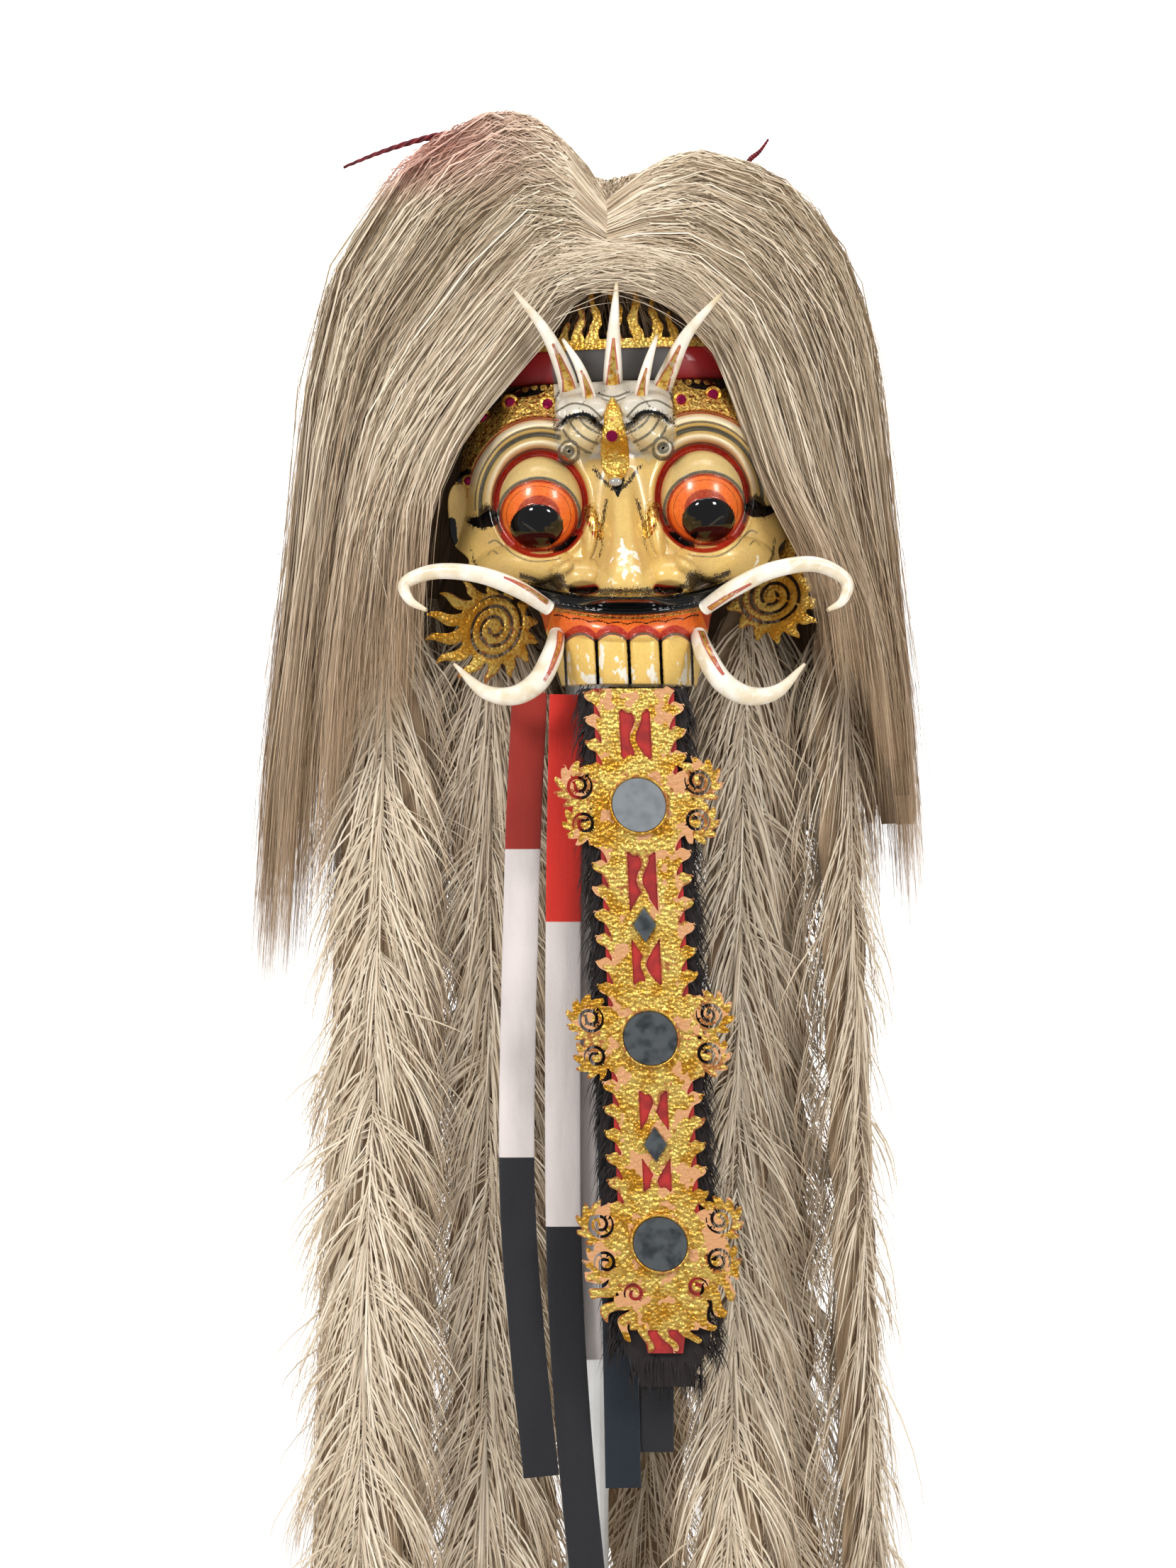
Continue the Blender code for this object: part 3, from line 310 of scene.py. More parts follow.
class Finish:
    """One material. Most methods add a node and give back the socket that the next one takes."""

    def __init__(self, name, **sockets):
        self.material = bpy.data.materials.new(name)
        self.material.use_nodes = True
        self.tree = self.material.node_tree
        self.shader = self.tree.nodes["Principled BSDF"]
        self.place = self.tree.nodes.new("ShaderNodeTexCoord").outputs["Object"]
        self.set(**sockets)

    def feed(self, socket, value):
        if isinstance(value, bpy.types.NodeSocket):
            self.tree.links.new(value, socket)
        elif isinstance(value, tuple) and socket.type == "RGBA":
            socket.default_value = (*value, 1.0)
        else:
            socket.default_value = value

    def set(self, **sockets):
        for name, value in sockets.items():
            self.feed(self.shader.inputs[name.replace("_", " ").title().replace("Ior", "IOR")], value)

    def add(self, kind, output, inputs, **settings):
        node = self.tree.nodes.new(kind)
        for name, value in settings.items():
            setattr(node, name, value)
        for key, value in inputs.items():
            self.feed(node.inputs[key], value)
        return node.outputs[output]

    def along(self, axis):
        """Each place along x, y or z, which axis gives as 0, 1 or 2."""
        return self.add("ShaderNodeSeparateXYZ", axis, {"Vector": self.place})

    def noise(self, scale, detail=2.0, stretch=None):
        where = self.place
        if stretch:
            where = self.add("ShaderNodeMapping", 0, {"Vector": where, "Scale": stretch})
        return self.add("ShaderNodeTexNoise", "Fac", {"Vector": where, "Scale": scale, "Detail": detail})

    def cells(self, scale):
        return self.add("ShaderNodeTexVoronoi", "Distance", {"Vector": self.place, "Scale": scale})

    def value(self, name):
        return self.add("ShaderNodeAttribute", "Fac", {}, attribute_name=name)

    def sum(self, a, b):
        return self.add("ShaderNodeMath", 0, {0: a, 1: b}, operation="ADD")

    def times(self, a, b):
        return self.add("ShaderNodeMath", 0, {0: a, 1: b}, operation="MULTIPLY")

    def step(self, value, low, high, bottom=0.0, top=1.0):
        inputs = {"Value": value, "From Min": low, "From Max": high, "To Min": bottom, "To Max": top}
        return self.add("ShaderNodeMapRange", 0, inputs, interpolation_type="SMOOTHSTEP")

    def mix(self, factor, a, b):
        return self.add("ShaderNodeMix", 2, {0: factor, 6: a, 7: b}, data_type="RGBA")

    def bump(self, height, strength, distance):
        inputs = {"Height": height, "Strength": strength, "Distance": distance}
        self.set(Normal=self.add("ShaderNodeBump", 0, inputs))


GOLD_LIGHT, GOLD_DEEP, GOLD_RUST = rgb(255, 220, 118), rgb(214, 150, 44), rgb(140, 52, 16)
HAIR_COLOURS = (rgb(158, 132, 104), rgb(218, 200, 173), rgb(247, 236, 216))
# a darker copy of the hair colours: painted shade for the hair inside the curtains, the cores of the ropes
# and the wisps under the parting
SHADED_UNDER_HAIR_COLOURS = (rgb(96, 74, 54), rgb(156, 130, 100), rgb(196, 176, 148))
HAIR_DYE = rgb(216, 152, 142)


def plain(name, colour, other, scale, roughness):
    """A colour that drifts to another through soft noise."""
    made = Finish(name, roughness=roughness)
    made.set(base_color=made.mix(made.step(made.noise(scale, 4.0), 0.38, 0.62), colour, other))
    return made.material


def hair_finish(name, shades, warm):
    """Hair in fine streaks, lighter in some locks, warm at its tips and dyed at the top left."""
    made = Finish(name, roughness=0.5, specular_ior_level=0.35)
    tint = made.value("tint")
    across = made.sum(made.times(tint, 91.0), made.times(made.value("edge"), 2.6))
    lines = {"W": across, "Scale": 1.0, "Detail": 1.5}
    streak = made.add("ShaderNodeTexNoise", "Fac", lines, noise_dimensions="1D")
    tone = made.sum(made.times(tint, 0.62), made.step(streak, 0.3, 0.72, -0.05, 0.42))
    colour = made.mix(made.step(tone, 0.0, 0.5), shades[0], shades[1])
    colour = made.mix(made.step(tone, 0.5, 1.0), colour, shades[2])
    tip = made.times(made.step(made.value("share"), 0.55, 1.0), 0.6)
    colour = made.mix(tip, colour, warm)
    high = made.step(made.along(2), 1.455, 1.52)
    leftwards = made.step(made.along(0), -0.16, 0.0, 1.0, 0.0)
    dye = made.times(made.times(high, leftwards), 0.7)
    made.set(base_color=made.mix(dye, colour, HAIR_DYE))
    made.bump(streak, 0.5, 0.0006)
    return made.material


def gilding(name, rust, leather=0.0, relief=0.9):
    """Beaten gold leaf, rusty in its hollows and along cut rims, and worn to the leather in places."""
    made = Finish(name)
    fine = made.noise(420, 3.0)
    broad = made.noise(38, 3.0)
    tone = made.sum(made.times(fine, 0.35), made.times(broad, 0.65))
    colour = made.mix(made.step(tone, 0.4, 0.6), GOLD_DEEP, GOLD_LIGHT)
    hollow = made.sum(made.times(broad, 0.6), made.times(made.noise(230, 2.0), 0.4))
    hollow = made.step(made.sum(hollow, made.times(made.value("brink"), 0.13)), rust, rust + 0.08)
    colour = made.mix(made.times(hollow, 0.85), colour, GOLD_RUST)
    metal = made.step(hollow, 0.0, 1.0, 0.8, 0.3)
    if leather:
        bare = made.sum(made.noise(62, 2.0), made.times(made.value("brink"), 0.06))
        bare = made.step(bare, 1 - leather, 1.02 - leather)
        colour = made.mix(bare, colour, rgb(202, 146, 98))
        metal = made.times(metal, made.step(bare, 0.0, 1.0, 1.0, 0.05))
    made.set(base_color=colour, metallic=metal, roughness=made.step(fine, 0.2, 0.8, 0.24, 0.48))
    made.bump(made.sum(made.times(fine, 0.5), made.cells(330)), relief, 0.0012)
    return made.material


# The carved and painted face. Its own places: u to the viewer's right, v up, d forward from the rim.
NOSE_HEIGHT = 1171 * MM
FACE_OFFSET = 31 * MM
FACE_RIM_Y = -85 * MM
FACE_LEAN = 0.045
FACE_SKEW = 0.038
TEETH_FOOT = -123.0
BROW_TOP = 137.0


def on_face(u, v, d):
    u, v, d = np.broadcast_arrays(*(np.asarray(x, float) for x in (u, v, d)))
    level = FACE_SKEW * ease(-50, 0, v)
    return np.stack(
        (
            FACE_OFFSET + MM * (u - FACE_LEAN * v),
            FACE_RIM_Y - MM * d,
            NOSE_HEIGHT + MM * (v + level * u),
        ),
        -1,
    )


HALF_WIDTH_KEYS = (
    (-123, 58), (-100, 64), (-75, 70), (-58, 75), (-48, 84), (-38, 108), (-28, 130), (-8, 134),
    (4, 145), (28, 149), (50, 147), (64, 138), (85, 134), (108, 122), (126, 100), (137, 80),
)
DEPTH_KEYS = (
    (-123, 84), (-95, 86), (-75, 82), (-58, 74), (-30, 66), (10, 62), (50, 60), (90, 56),
    (118, 46), (137, 34),
)
CORE_KEYS = (
    (-123, 60), (-80, 72), (-58, 82), (-44, 104), (-28, 131), (40, 136), (80, 135), (108, 125),
    (126, 106), (137, 90),
)
TEMPLE_DEPTH = 13.0
EYE = (69.0, 34.0)
EYE_RADII = (36.0, 41.0)
TOOTH_WIDTH = 27.0
NOSE_WIDTH_KEYS = ((-62, 27), (-44, 27), (-12, 18), (22, 12), (62, 11))
NOSE_HEIGHT_KEYS = (
    (-64, 0), (-58, 7), (-52, 34), (-44, 54), (-34, 56), (-16, 42), (8, 28), (35, 15), (62, 4),
)


def head_depth(u, v):
    """The plain head under the carving: a rounded core with a shallower temple on each side."""
    a = np.abs(u)
    core = through(CORE_KEYS, v)
    round_core = through(DEPTH_KEYS, v) * np.clip(1 - (a / core) ** 2.6, 0, 1) ** 0.55
    temple = TEMPLE_DEPTH * ease(-10, 8, v) * (1 - ease(60, 80, v)) * (1 - ease(150, 172, a) * 0.6)
    return np.maximum(round_core, np.maximum(temple, 6))


def eye_ring(a, v):
    """How far out from the middle of an eye: 1 at the edge of the eyeball."""
    return np.sqrt(((a - EYE[0]) / EYE_RADII[0]) ** 2 + ((v - EYE[1]) / EYE_RADII[1]) ** 2)


def iris(a, v):
    return np.hypot((a - 71) / 33.5, (v - 23) / 30)


def pupil(a, v):
    return np.hypot((a - 73) / 22.5, (v - 14) / 18)


def eye_depth(a, v, depth):
    q = eye_ring(a, v)
    socket = depth - 9 * hump(q, 1.04, 0.13) + 3.5 * hump(q, 1.19, 0.06)
    ball = 44 + 38 * np.clip(1 - q * q, 0, 1) ** 0.5
    lid = 4.5 * ease(1.0, 1.05, iris(a, v)) * ease(6, 20, v)
    bulge = 5 * np.clip(1 - pupil(a, v) ** 2, 0, 1) ** 0.5
    return np.where(q < 1, np.maximum(ball + bulge + lid, 42), socket)


def brow_depth(a, v):
    """The ridges that arch over each eye, and the gilded relief above them."""
    q = eye_ring(a, v)
    over = ease(8, 50, v) * ease(30, 50, a) * (1 - 0.7 * ease(96, 114, a))
    ridge = 15 * hump(q, 1.62, 0.15) + 9 * hump(q, 1.29, 0.09)
    groove = -2.5 * hump(q, 1.45, 0.03) - 2.5 * hump(q, 1.78, 0.03)
    gilded = 8 * ease(1.80, 1.86, q) * (1 - ease(92, 110, a)) * ease(30, 60, v)
    return over * (ridge + groove) + gilded * ease(44, 52, a)


def cone_places(u, v):
    """Places on the snail-shaped cones of the forehead: along each cone, and across it."""
    x, y = np.abs(u + 3) - 22, v - 97
    return (19 * x - 22 * y) / 29, (22 * x + 19 * y) / 29


def forehead_depth(u, v):
    a = np.abs(u + 3)
    form = 14 * np.clip(1 - (a / 50) ** 4 - ((v - 108) / 33) ** 4, 0, 1) ** 0.4
    rolls = 12 * swell(a, v, (28, 113), (23, 14))
    along, across = cone_places(u, v)
    radius = 16.5 - 0.2 * along - 1.2 * ease(8, 9, along) - 1.2 * ease(17, 18, along)
    ends = ease(-8, 2, along) * (1 - ease(26, 29, along))
    cone = 17 * np.clip(1 - (across / radius) ** 2, 0, 1) ** 0.5 * ends
    tip = 17 * swell(a, v, (40, 76), (9, 8.5), 0.2)
    return form + np.maximum(rolls, np.maximum(cone, tip))


def nose_depth(a, v):
    width = through(NOSE_WIDTH_KEYS, v)
    height = through(NOSE_HEIGHT_KEYS, v)
    ridge = np.where(v > -64, height, 0) / (1 + (a / width) ** 4)
    wing = 38 * swell(a, v, (38, -31), (24, 17), 0.4)
    nostril = -17 * swell(a, v, (36, -42), (14, 6), 1.0)
    tear = 9 * swell(a, v, (28 - 0.12 * (v - 8), 8), (6.5, 25))
    return np.maximum(ridge, wing) + nostril + tear


def cheek_depth(a, v):
    return 27 * swell(a, v, (86, -18), (43, 19), 0.45)


def lip_line(a):
    """The height of the middle of the upper lip."""
    return -58 + 11 * (a / 72) ** 2


def mouth_depth(u, v):
    a = np.abs(u)
    lip = 17 * np.clip(1 - ((v - lip_line(a)) / 8.5) ** 2, 0, 1) ** 0.5 * (1 - ease(74, 92, a))
    gum_line = lip_line(a) - 16
    gum = 9 * np.clip(1 - ((v - gum_line) / 13) ** 2, 0, 1) ** 0.5 * (1 - ease(62, 78, a))
    across = ((u / TOOTH_WIDTH) % 1.0) * 2 - 1
    tooth_top = -80 - 7 * across**2
    row = (1 - ease(53.5, 56, a)) * (1 - ease(tooth_top - 1.5, tooth_top + 1.5, v))
    tooth = row * (13 * np.clip(1 - across**6, 0, 1) ** 0.5 - 3)
    return lip + gum + tooth


def face_depth(u, v):
    """How far the carved surface stands in front of the rim, in face units."""
    a = np.abs(u)
    depth = eye_depth(a, v, head_depth(u, v))
    features = nose_depth(a, v) + cheek_depth(a, v) + mouth_depth(u, v)
    carved = brow_depth(a, v) + forehead_depth(u, v) + features
    outside_eye = ease(0.97, 1.05, eye_ring(a, v))
    edge = 1 - ease(0.86, 1.0, a / through(HALF_WIDTH_KEYS, v)) * 0.5
    return np.where(outside_eye > 0, depth + outside_eye * edge * carved, depth)


def face_paint(u, v):
    """Every painted field of the face by name, each above 0 inside its colour, in millimetres."""
    # a and b: how far each place is from the middle of the face, and from the middle of the forehead
    a, b = np.abs(u), np.abs(u + 3)
    q = eye_ring(a, v)
    ring = (q - 1) * 38
    upper = v - 24
    lip = lip_line(a)
    along, across = cone_places(u, v)
    tip = np.hypot(b - 40, v - 76)
    tooth = ((u / TOOTH_WIDTH) % 1.0) * 2 - 1
    tooth_top = -80 - 7 * tooth**2
    in_teeth = np.minimum(56 - a, tooth_top + 1 - v)
    white = np.minimum(50 - b, np.minimum(v - 70, 139 - v))
    brow_end = np.minimum(b - 51 + 0 * v, 138 - 0.12 * (a - 70) - v)
    brow = np.minimum(np.minimum(ring - 31, v - 56), brow_end)
    patch = np.minimum(swell(a, v, (78, 137), (22, 10), 1.0) - 0.05, 1) * 8
    curls = [3.0 - np.hypot(a - 62 - 8 * k, v - 134.5 - 1.2 * (k % 2)) for k in range(5)]
    curls = np.maximum.reduce(curls)
    patch = np.minimum(patch, -curls)

    black = [
        (1 - pupil(a, v)) * 18,
        np.minimum(7.3 - np.abs(v - lip), 88 - a),
        patch,
        # painted shadow: a black crescent in the pocket under the inner lower edge of each eye
        np.minimum((1.05 - np.abs(q - 1.03) / 0.06) * 2, np.minimum(6 - v, 60 - a + 0 * v)),
        stroke(a, v, ((113, 24), (122, 22), (131, 24)), 15, 5),
        stroke(a, v, ((138, 62), (131, 66)), 9, 6),
        stroke(a, v, ((147, 24), (147, 8)), 8, 10),
        stroke(a, v, ((143, -14), (139, -26)), 13, 9),
        np.minimum(in_teeth, 1.3 - (1 - np.abs(tooth)) * TOOTH_WIDTH / 2),
        stroke(b, v, ((11.5, 96), (24, 107), (40, 105), (45, 100)), 3.5, 2.5),
        stroke(u + 3, v, ((0, 50), (0, 37)), 12, 2),
        stroke(a, v, ((26, -43), (46, -44)), 5, 4),
        np.minimum(0.55 - np.abs(v - lip + 14.5 - 1.7 * np.abs(np.sin(u * np.pi / 16))), 62 - a),
        1.6 - tip,
    ]
    grey = [
        np.minimum(1.3 - np.abs((iris(a, v) - 1.045) * 31), v - 12),
        np.minimum(0.7 - np.abs(ring - 5.6), np.minimum(upper, a - 40)),
        np.minimum(1.9 - np.abs(ring - 16.8), np.minimum(upper + 6, a - 49)),
        np.minimum(0.8 - np.abs(ring - 21.5), np.minimum(upper - 8, a - 49)),
        np.minimum(1.3 - np.abs(tip - 8.4), 30 + 0 * v),
        1.6 - np.abs(tip - 3.5),
        stroke(u + 3, v, ((-13, 126), (0, 122), (13, 126)), 1.6),
        stroke(u + 3, v, ((-10, 121), (0, 118), (10, 121)), 1.3),
        stroke(b, v, ((11, 104), (22, 114), (36, 117), (49, 111)), 1.8),
        stroke(a, v, ((116, -8), (112, -4), (107, -8)), 1.2),
        stroke(
            a, v, ((115, 3), (109, 5), (101, -2), (93, -10), (78, -17), (59, -16), (54, -14)), 1.4, 0.8
        ),
        np.minimum(in_teeth, 2.1 - np.abs(tooth_top + 0.5 - v)),
    ]
    for start in (2.0, 11.0, 20.0):
        grey.append(np.minimum(1.1 - np.abs(along + 0.018 * across**2 - start), 15.5 - np.abs(across)))
    for k in range(9):
        centre = -72 + 18 * k
        height = float(lip_line(centre)) + 1.5
        grey.append(0.55 - np.abs(np.hypot((u - centre) / 1.25, v - height) - 1.5))
    red = [
        np.minimum((0.075 - np.abs(q - 1.055)) * 38, v - 2),
        np.minimum((0.05 - np.abs(q - 1.12)) * 38, 9 - v),
        np.minimum(2 - np.abs(ring - 2.5), 14 - np.abs(v - 6)),
        np.minimum(in_teeth + 6, 5 - np.abs(tooth_top + 3 - v)),
        stroke(a, v, ((27, -43), (45, -44)), 8.5, 7),
        np.minimum(0.7 - np.abs(ring - 29.6), np.minimum(upper - 20, a - 50)),
        stroke(a, v, ((68, -60), (72, -74)), 9, 7),
    ]
    orange = [
        (1 - iris(a, v)) * 31,
        np.minimum(np.minimum(lip - 7 - v, v - tooth_top - 1), 68 - a),
    ]
    gold = [
        brow,
        np.minimum(1.2 - np.abs(v - lip + 8.6), 88 - a),
        np.minimum(0.6 - np.abs(v - lip - 7.8), 88 - a),
        swell(a, v, (24.5 + 0.28 * (v - 16), 16), (6.0, 16), 1.0) * 6 - 0.2,
        curls,
    ]
    # lash strokes and painted shade: black fringes of short strokes along the cheeks, temples, lip and
    # forehead rolls, and painted shade in the creases under the cheeks and rolls, beside the white forehead
    # and down the sides of the nose
    lashes_and_shade = [
        stroke(a, v, ((58, -36), (75, -41), (95, -39), (118, -31)), 25, 20) / 8,
        stroke(a, v, ((118, -30), (127, -16), (130, -2)), 12, 8) / 6,
        stroke(a, v, ((13, 34), (17, 14), (18, -4), (21, -14)), 9, 7) / 5,
        stroke(a, v, ((16, -50), (34, -51), (54, -44), (59, -30)), 13, 9) / 5,
        stroke(a, v, ((6, -47), (20, -51)), 7, 7) / 5,
        stroke(a, v, ((115, 27), (122, 22), (132, 26)), 32, 18) / 11,
        stroke(a, v, ((138, 62), (130, 66)), 20, 16) / 8,
        stroke(u + 3, v, ((0, 52), (0, 34)), 24, 6) / 9,
        stroke(u + 3, v, ((-20, 62), (0, 42), (20, 62)), 9) / 5,
        stroke(b, v, ((11, 95), (24, 105), (40, 104), (50, 97)), 18, 14) / 8,
        stroke(b, v, ((46, 130), (51, 118), (51, 100)), 9) / 6,
        stroke(b, v, ((8, 128), (20, 124), (30, 112)), 7) / 6,
        stroke(b, v, ((10, 100), (14, 88), (20, 78)), 8) / 6,
        stroke(a, v, ((48, 22), (50, 60)), 5) / 8,
        np.minimum(1 - np.abs(v - lip - 12) / 6, (92 - a) / 4),
    ]
    wear = np.maximum.reduce([
        1.1 * swell(a, v, (0, -24), (24, 34), 0.5),
        np.where(in_teeth > 0, 1.02 - 0.3 * ease(-105, -85, v), 0.0),
        0.8 * swell(a, v, (106, -22), (26, 14), 0.5),
        0.5 * hump(ring, 25.5, 2.2) * ease(60, 80, v) * ease(44, 50, a),
    ])
    # painted highlight: lighter paint along the crests of the brow ridge and roll, and down one side of each
    # forehead cone
    painted_highlight = np.maximum.reduce([
        hump(ring, 25.5, 3.0) * ease(40, 70, v) * ease(44, 50, a),
        0.8 * hump(ring, 10, 2.5) * ease(20, 60, v) * ease(44, 50, a),
        np.where(np.abs(along - 15) < 17, hump(across, 4, 5), 0) * 0.6,
    ])
    fields = {
        "white": white,
        "cone": np.minimum(np.minimum(16.5 - np.abs(across), along + 1), 27 - along),
        "tooth": in_teeth,
        "lid": (1 - q) * 38,
        "orange": np.maximum.reduce(orange),
        "red": np.maximum.reduce(red),
        "grey": np.maximum.reduce(grey),
        "gold": np.maximum.reduce(gold),
        "black": np.maximum.reduce(black),
        "lashes_and_shade": np.clip(np.maximum.reduce(lashes_and_shade), 0, 1),
        "wear": wear,
        "painted_highlight": painted_highlight,
        "brow": brow,
        "iris": iris(a, v),
    }
    fields["grey"] = np.where((q < 1) & (iris(a, v) < 0.98), -9, fields["grey"])
    off_pupil = (q < 0.99) & (pupil(a, v) > 1.1)
    fields["black"] = np.where(off_pupil, np.minimum(q - 1, fields["black"]), fields["black"])
    return fields


def face_finish():
    """Glossy paint in layers: ground, painted highlights, fields, irises, wear, lash strokes with painted
    shade, gold leaf and black over all.
    """
    made = Finish("face paint", coat_weight=0.35, coat_roughness=0.07)
    broad = made.step(made.noise(24, 4.0), 0.35, 0.65)
    colour = made.mix(broad, rgb(222, 186, 108), rgb(206, 172, 104))
    # painted highlight on the crests of the brow ridges and on one side of each cone
    colour = made.mix(made.times(made.value("painted_highlight"), 0.75), colour, rgb(240, 232, 212))
    grain = made.noise(900, 2.0, stretch=(1.0, 1.0, 0.35))
    layers = (
        ("lid", rgb(206, 178, 118), 0.6),
        ("white", rgb(202, 196, 182), 1.6),
        ("cone", rgb(200, 180, 138), 1.5),
        ("tooth", rgb(228, 190, 104), 0.5),
        ("orange", rgb(232, 100, 30), 0.4),
        ("red", rgb(186, 22, 18), 0.4),
        ("grey", rgb(92, 92, 82), 0.45),
    )
    for name, paint, soft in layers:
        colour = made.mix(made.step(made.value(name), -soft, soft), colour, paint)
        if name == "orange":
            out = made.value("iris")
            outer_ring, inner_ring = made.step(out, 0.90, 0.95), made.step(out, 0.52, 0.58, 1.0, 0.0)
            in_iris = made.step(out, 0.99, 1.0, 1.0, 0.0)
            rings = made.times(in_iris, made.step(made.sum(outer_ring, inner_ring), 0.0, 1.0))
            colour = made.mix(rings, colour, rgb(158, 36, 20))
            line = made.times(made.step(out, 0.80, 0.815), made.step(out, 0.815, 0.83, 1.0, 0.0))
            colour = made.mix(line, colour, rgb(110, 30, 16))
    worn = made.sum(made.times(made.value("wear"), 0.40), made.noise(120, 6.0, stretch=(1, 1, 0.55)))
    colour = made.mix(made.step(worn, 0.94, 0.97), colour, rgb(240, 234, 218))
    # black lash strokes and painted shade in the creases, broken into stipple
    stipple = made.sum(made.times(made.value("lashes_and_shade"), 0.62), grain)
    colour = made.mix(made.step(stipple, 0.86, 0.93), colour, rgb(36, 32, 28))
    gold = made.step(made.value("gold"), -0.3, 0.3)
    fine = made.noise(600, 3.0)
    rich = made.mix(made.step(fine, 0.38, 0.62), rgb(168, 104, 28), GOLD_LIGHT)
    rust = made.step(made.noise(260, 2.0), 0.56, 0.64)
    rich = made.mix(rust, rich, GOLD_RUST)
    colour = made.mix(gold, colour, rich)
    frayed = made.times(made.step(grain, 0.3, 0.7), 0.5)
    black = made.step(made.sum(made.value("black"), frayed), 0.0, 0.5)
    colour = made.mix(black, colour, rgb(9, 9, 11))
    not_black = made.step(black, 0.0, 1.0, 1.0, 0.0)
    bright_gold = made.times(gold, not_black)
    gloss = made.step(not_black, 0.0, 1.0, 0.06, 0.3)
    made.set(base_color=colour, metallic=made.times(bright_gold, 0.75), roughness=gloss)
    leaf = made.times(made.step(made.value("brow"), -0.3, 0.3), not_black)
    scroll = made.times(leaf, made.sum(made.cells(190), made.times(fine, 0.6)))
    grain = made.times(made.times(made.noise(160, 3.0), 0.05), not_black)
    made.bump(made.sum(scroll, grain), 1.0, 0.0016)
    return made.material


def make_face():
    """A fine carved front, a coarse hollow behind it and a rim that joins the two."""
    rows, columns = 280, 236
    v = np.linspace(TEETH_FOOT, BROW_TOP, rows)
    half = through(HALF_WIDTH_KEYS, v)
    u = np.linspace(-1, 1, columns)[None, :] * half[:, None]
    v = np.repeat(v[:, None], columns, 1)
    front = on_face(u, v, face_depth(u, v))
    rim = np.pad(on_face(u, v, 0 * u), ((1, 1), (1, 1), (0, 0)), mode="edge")
    points = rim.copy()
    points[1:-1, 1:-1] = front
    rim_out = 0.4 * MM
    points[1:-1, 0, 0] -= rim_out
    points[1:-1, -1, 0] += rim_out
    points[0, :, 2] -= rim_out
    points[-1, :, 2] += rim_out
    at = np.arange(points.shape[0] * points.shape[1]).reshape(points.shape[:2])
    outer_faces = cells(at)

    coarse_rows, coarse_columns = 29, 25
    wall = 10.0
    cv = np.linspace(TEETH_FOOT + wall, BROW_TOP - wall, coarse_rows)
    cu = np.linspace(-1, 1, coarse_columns)[None, :] * (through(HALF_WIDTH_KEYS, cv) - wall)[:, None]
    cv = np.repeat(cv[:, None], coarse_columns, 1)
    depth = np.maximum(0.78 * head_depth(cu, cv) - 6, 3.0)
    depth[0], depth[-1], depth[:, 0], depth[:, -1] = 0, 0, 0, 0
    inner = on_face(cu, cv, depth)
    start = points.shape[0] * points.shape[1]
    inner_at = start + np.arange(coarse_rows * coarse_columns).reshape(coarse_rows, coarse_columns)
    inner_faces = cells(inner_at)[:, ::-1]

    def loop(grid):
        return [grid[0], grid[:, -1], grid[-1][::-1], grid[:, 0][::-1]]

    rim_faces = {}
    for outer_side, inner_side in zip(loop(at), loop(inner_at)):
        stops = np.round(np.linspace(0, len(outer_side) - 1, len(inner_side))).astype(int)
        for k in range(len(inner_side) - 1):
            run = outer_side[stops[k]:stops[k + 1] + 1]
            face = [inner_side[k], inner_side[k + 1], *run[::-1]]
            rim_faces.setdefault(len(face), []).append(face)
    rim_sets = [np.array(faces) for faces in rim_faces.values()]
    face = add_mesh(
        "carved_face",
        np.concatenate((points.reshape(-1, 3), inner.reshape(-1, 3))),
        [outer_faces, inner_faces, *rim_sets],
        face_finish(),
    )
    for name, values in face_paint(u, v).items():
        unpainted = 0.0 if name in ("lashes_and_shade", "wear", "painted_highlight") else -9.0
        inside = np.full(coarse_rows * coarse_columns, unpainted)
        keep(face, name, np.concatenate((np.pad(values, 1, mode="edge").ravel(), inside)))
    settle(face, "face")


# Horns: the line of each through the face's own places, and its radius at the foot
HORNS = (
    ("horn_centre", ((-3, 130, 40), (-2, 150, 56), (0, 180, 62), (4, 219, 66)), 6.5),
    ("horn_outer_left", ((-40, 128, 34), (-44, 146, 54), (-58, 178, 76), (-84, 213, 96)), 6.5),
    ("horn_outer_right", ((38, 128, 34), (46, 144, 54), (62, 172, 76), (92, 203, 96)), 6.5),
    ("horn_inner_left", ((-23, 118, 54), (-25, 130, 68), (-32, 150, 76), (-44, 171, 82)), 4.2),
    ("horn_inner_right", ((20, 118, 54), (22, 130, 68), (28, 150, 76), (36, 171, 82)), 4.2),
)
# Tusks: line, radii along it, how far the gilded groove runs, and how far it is turned round the tusk
TUSKS = (
    (
        "tusk_upper",
        (
            (66, -58, 70), (92, -42, 90), (124, -29, 96), (160, -25, 90), (186, -36, 84), (183, -52, 90),
            (169, -61, 96),
        ),
        (6.5, 7.5, 7.2, 6.6, 5.6, 4.0, 1.6),
        0.24,
        -0.55,
    ),
    (
        "tusk_lower",
        ((60, -80, 58), (65, -98, 84), (78, -121, 95), (99, -133, 98), (124, -129, 98), (148, -106, 96)),
        (7.0, 8.8, 9.4, 8.2, 5.8, 1.2),
        0.4,
        0.45,
    ),
)
SIDES = (("left", -1), ("right", 1))
HORN_STEPS = 30
TUSK_STEPS = 60


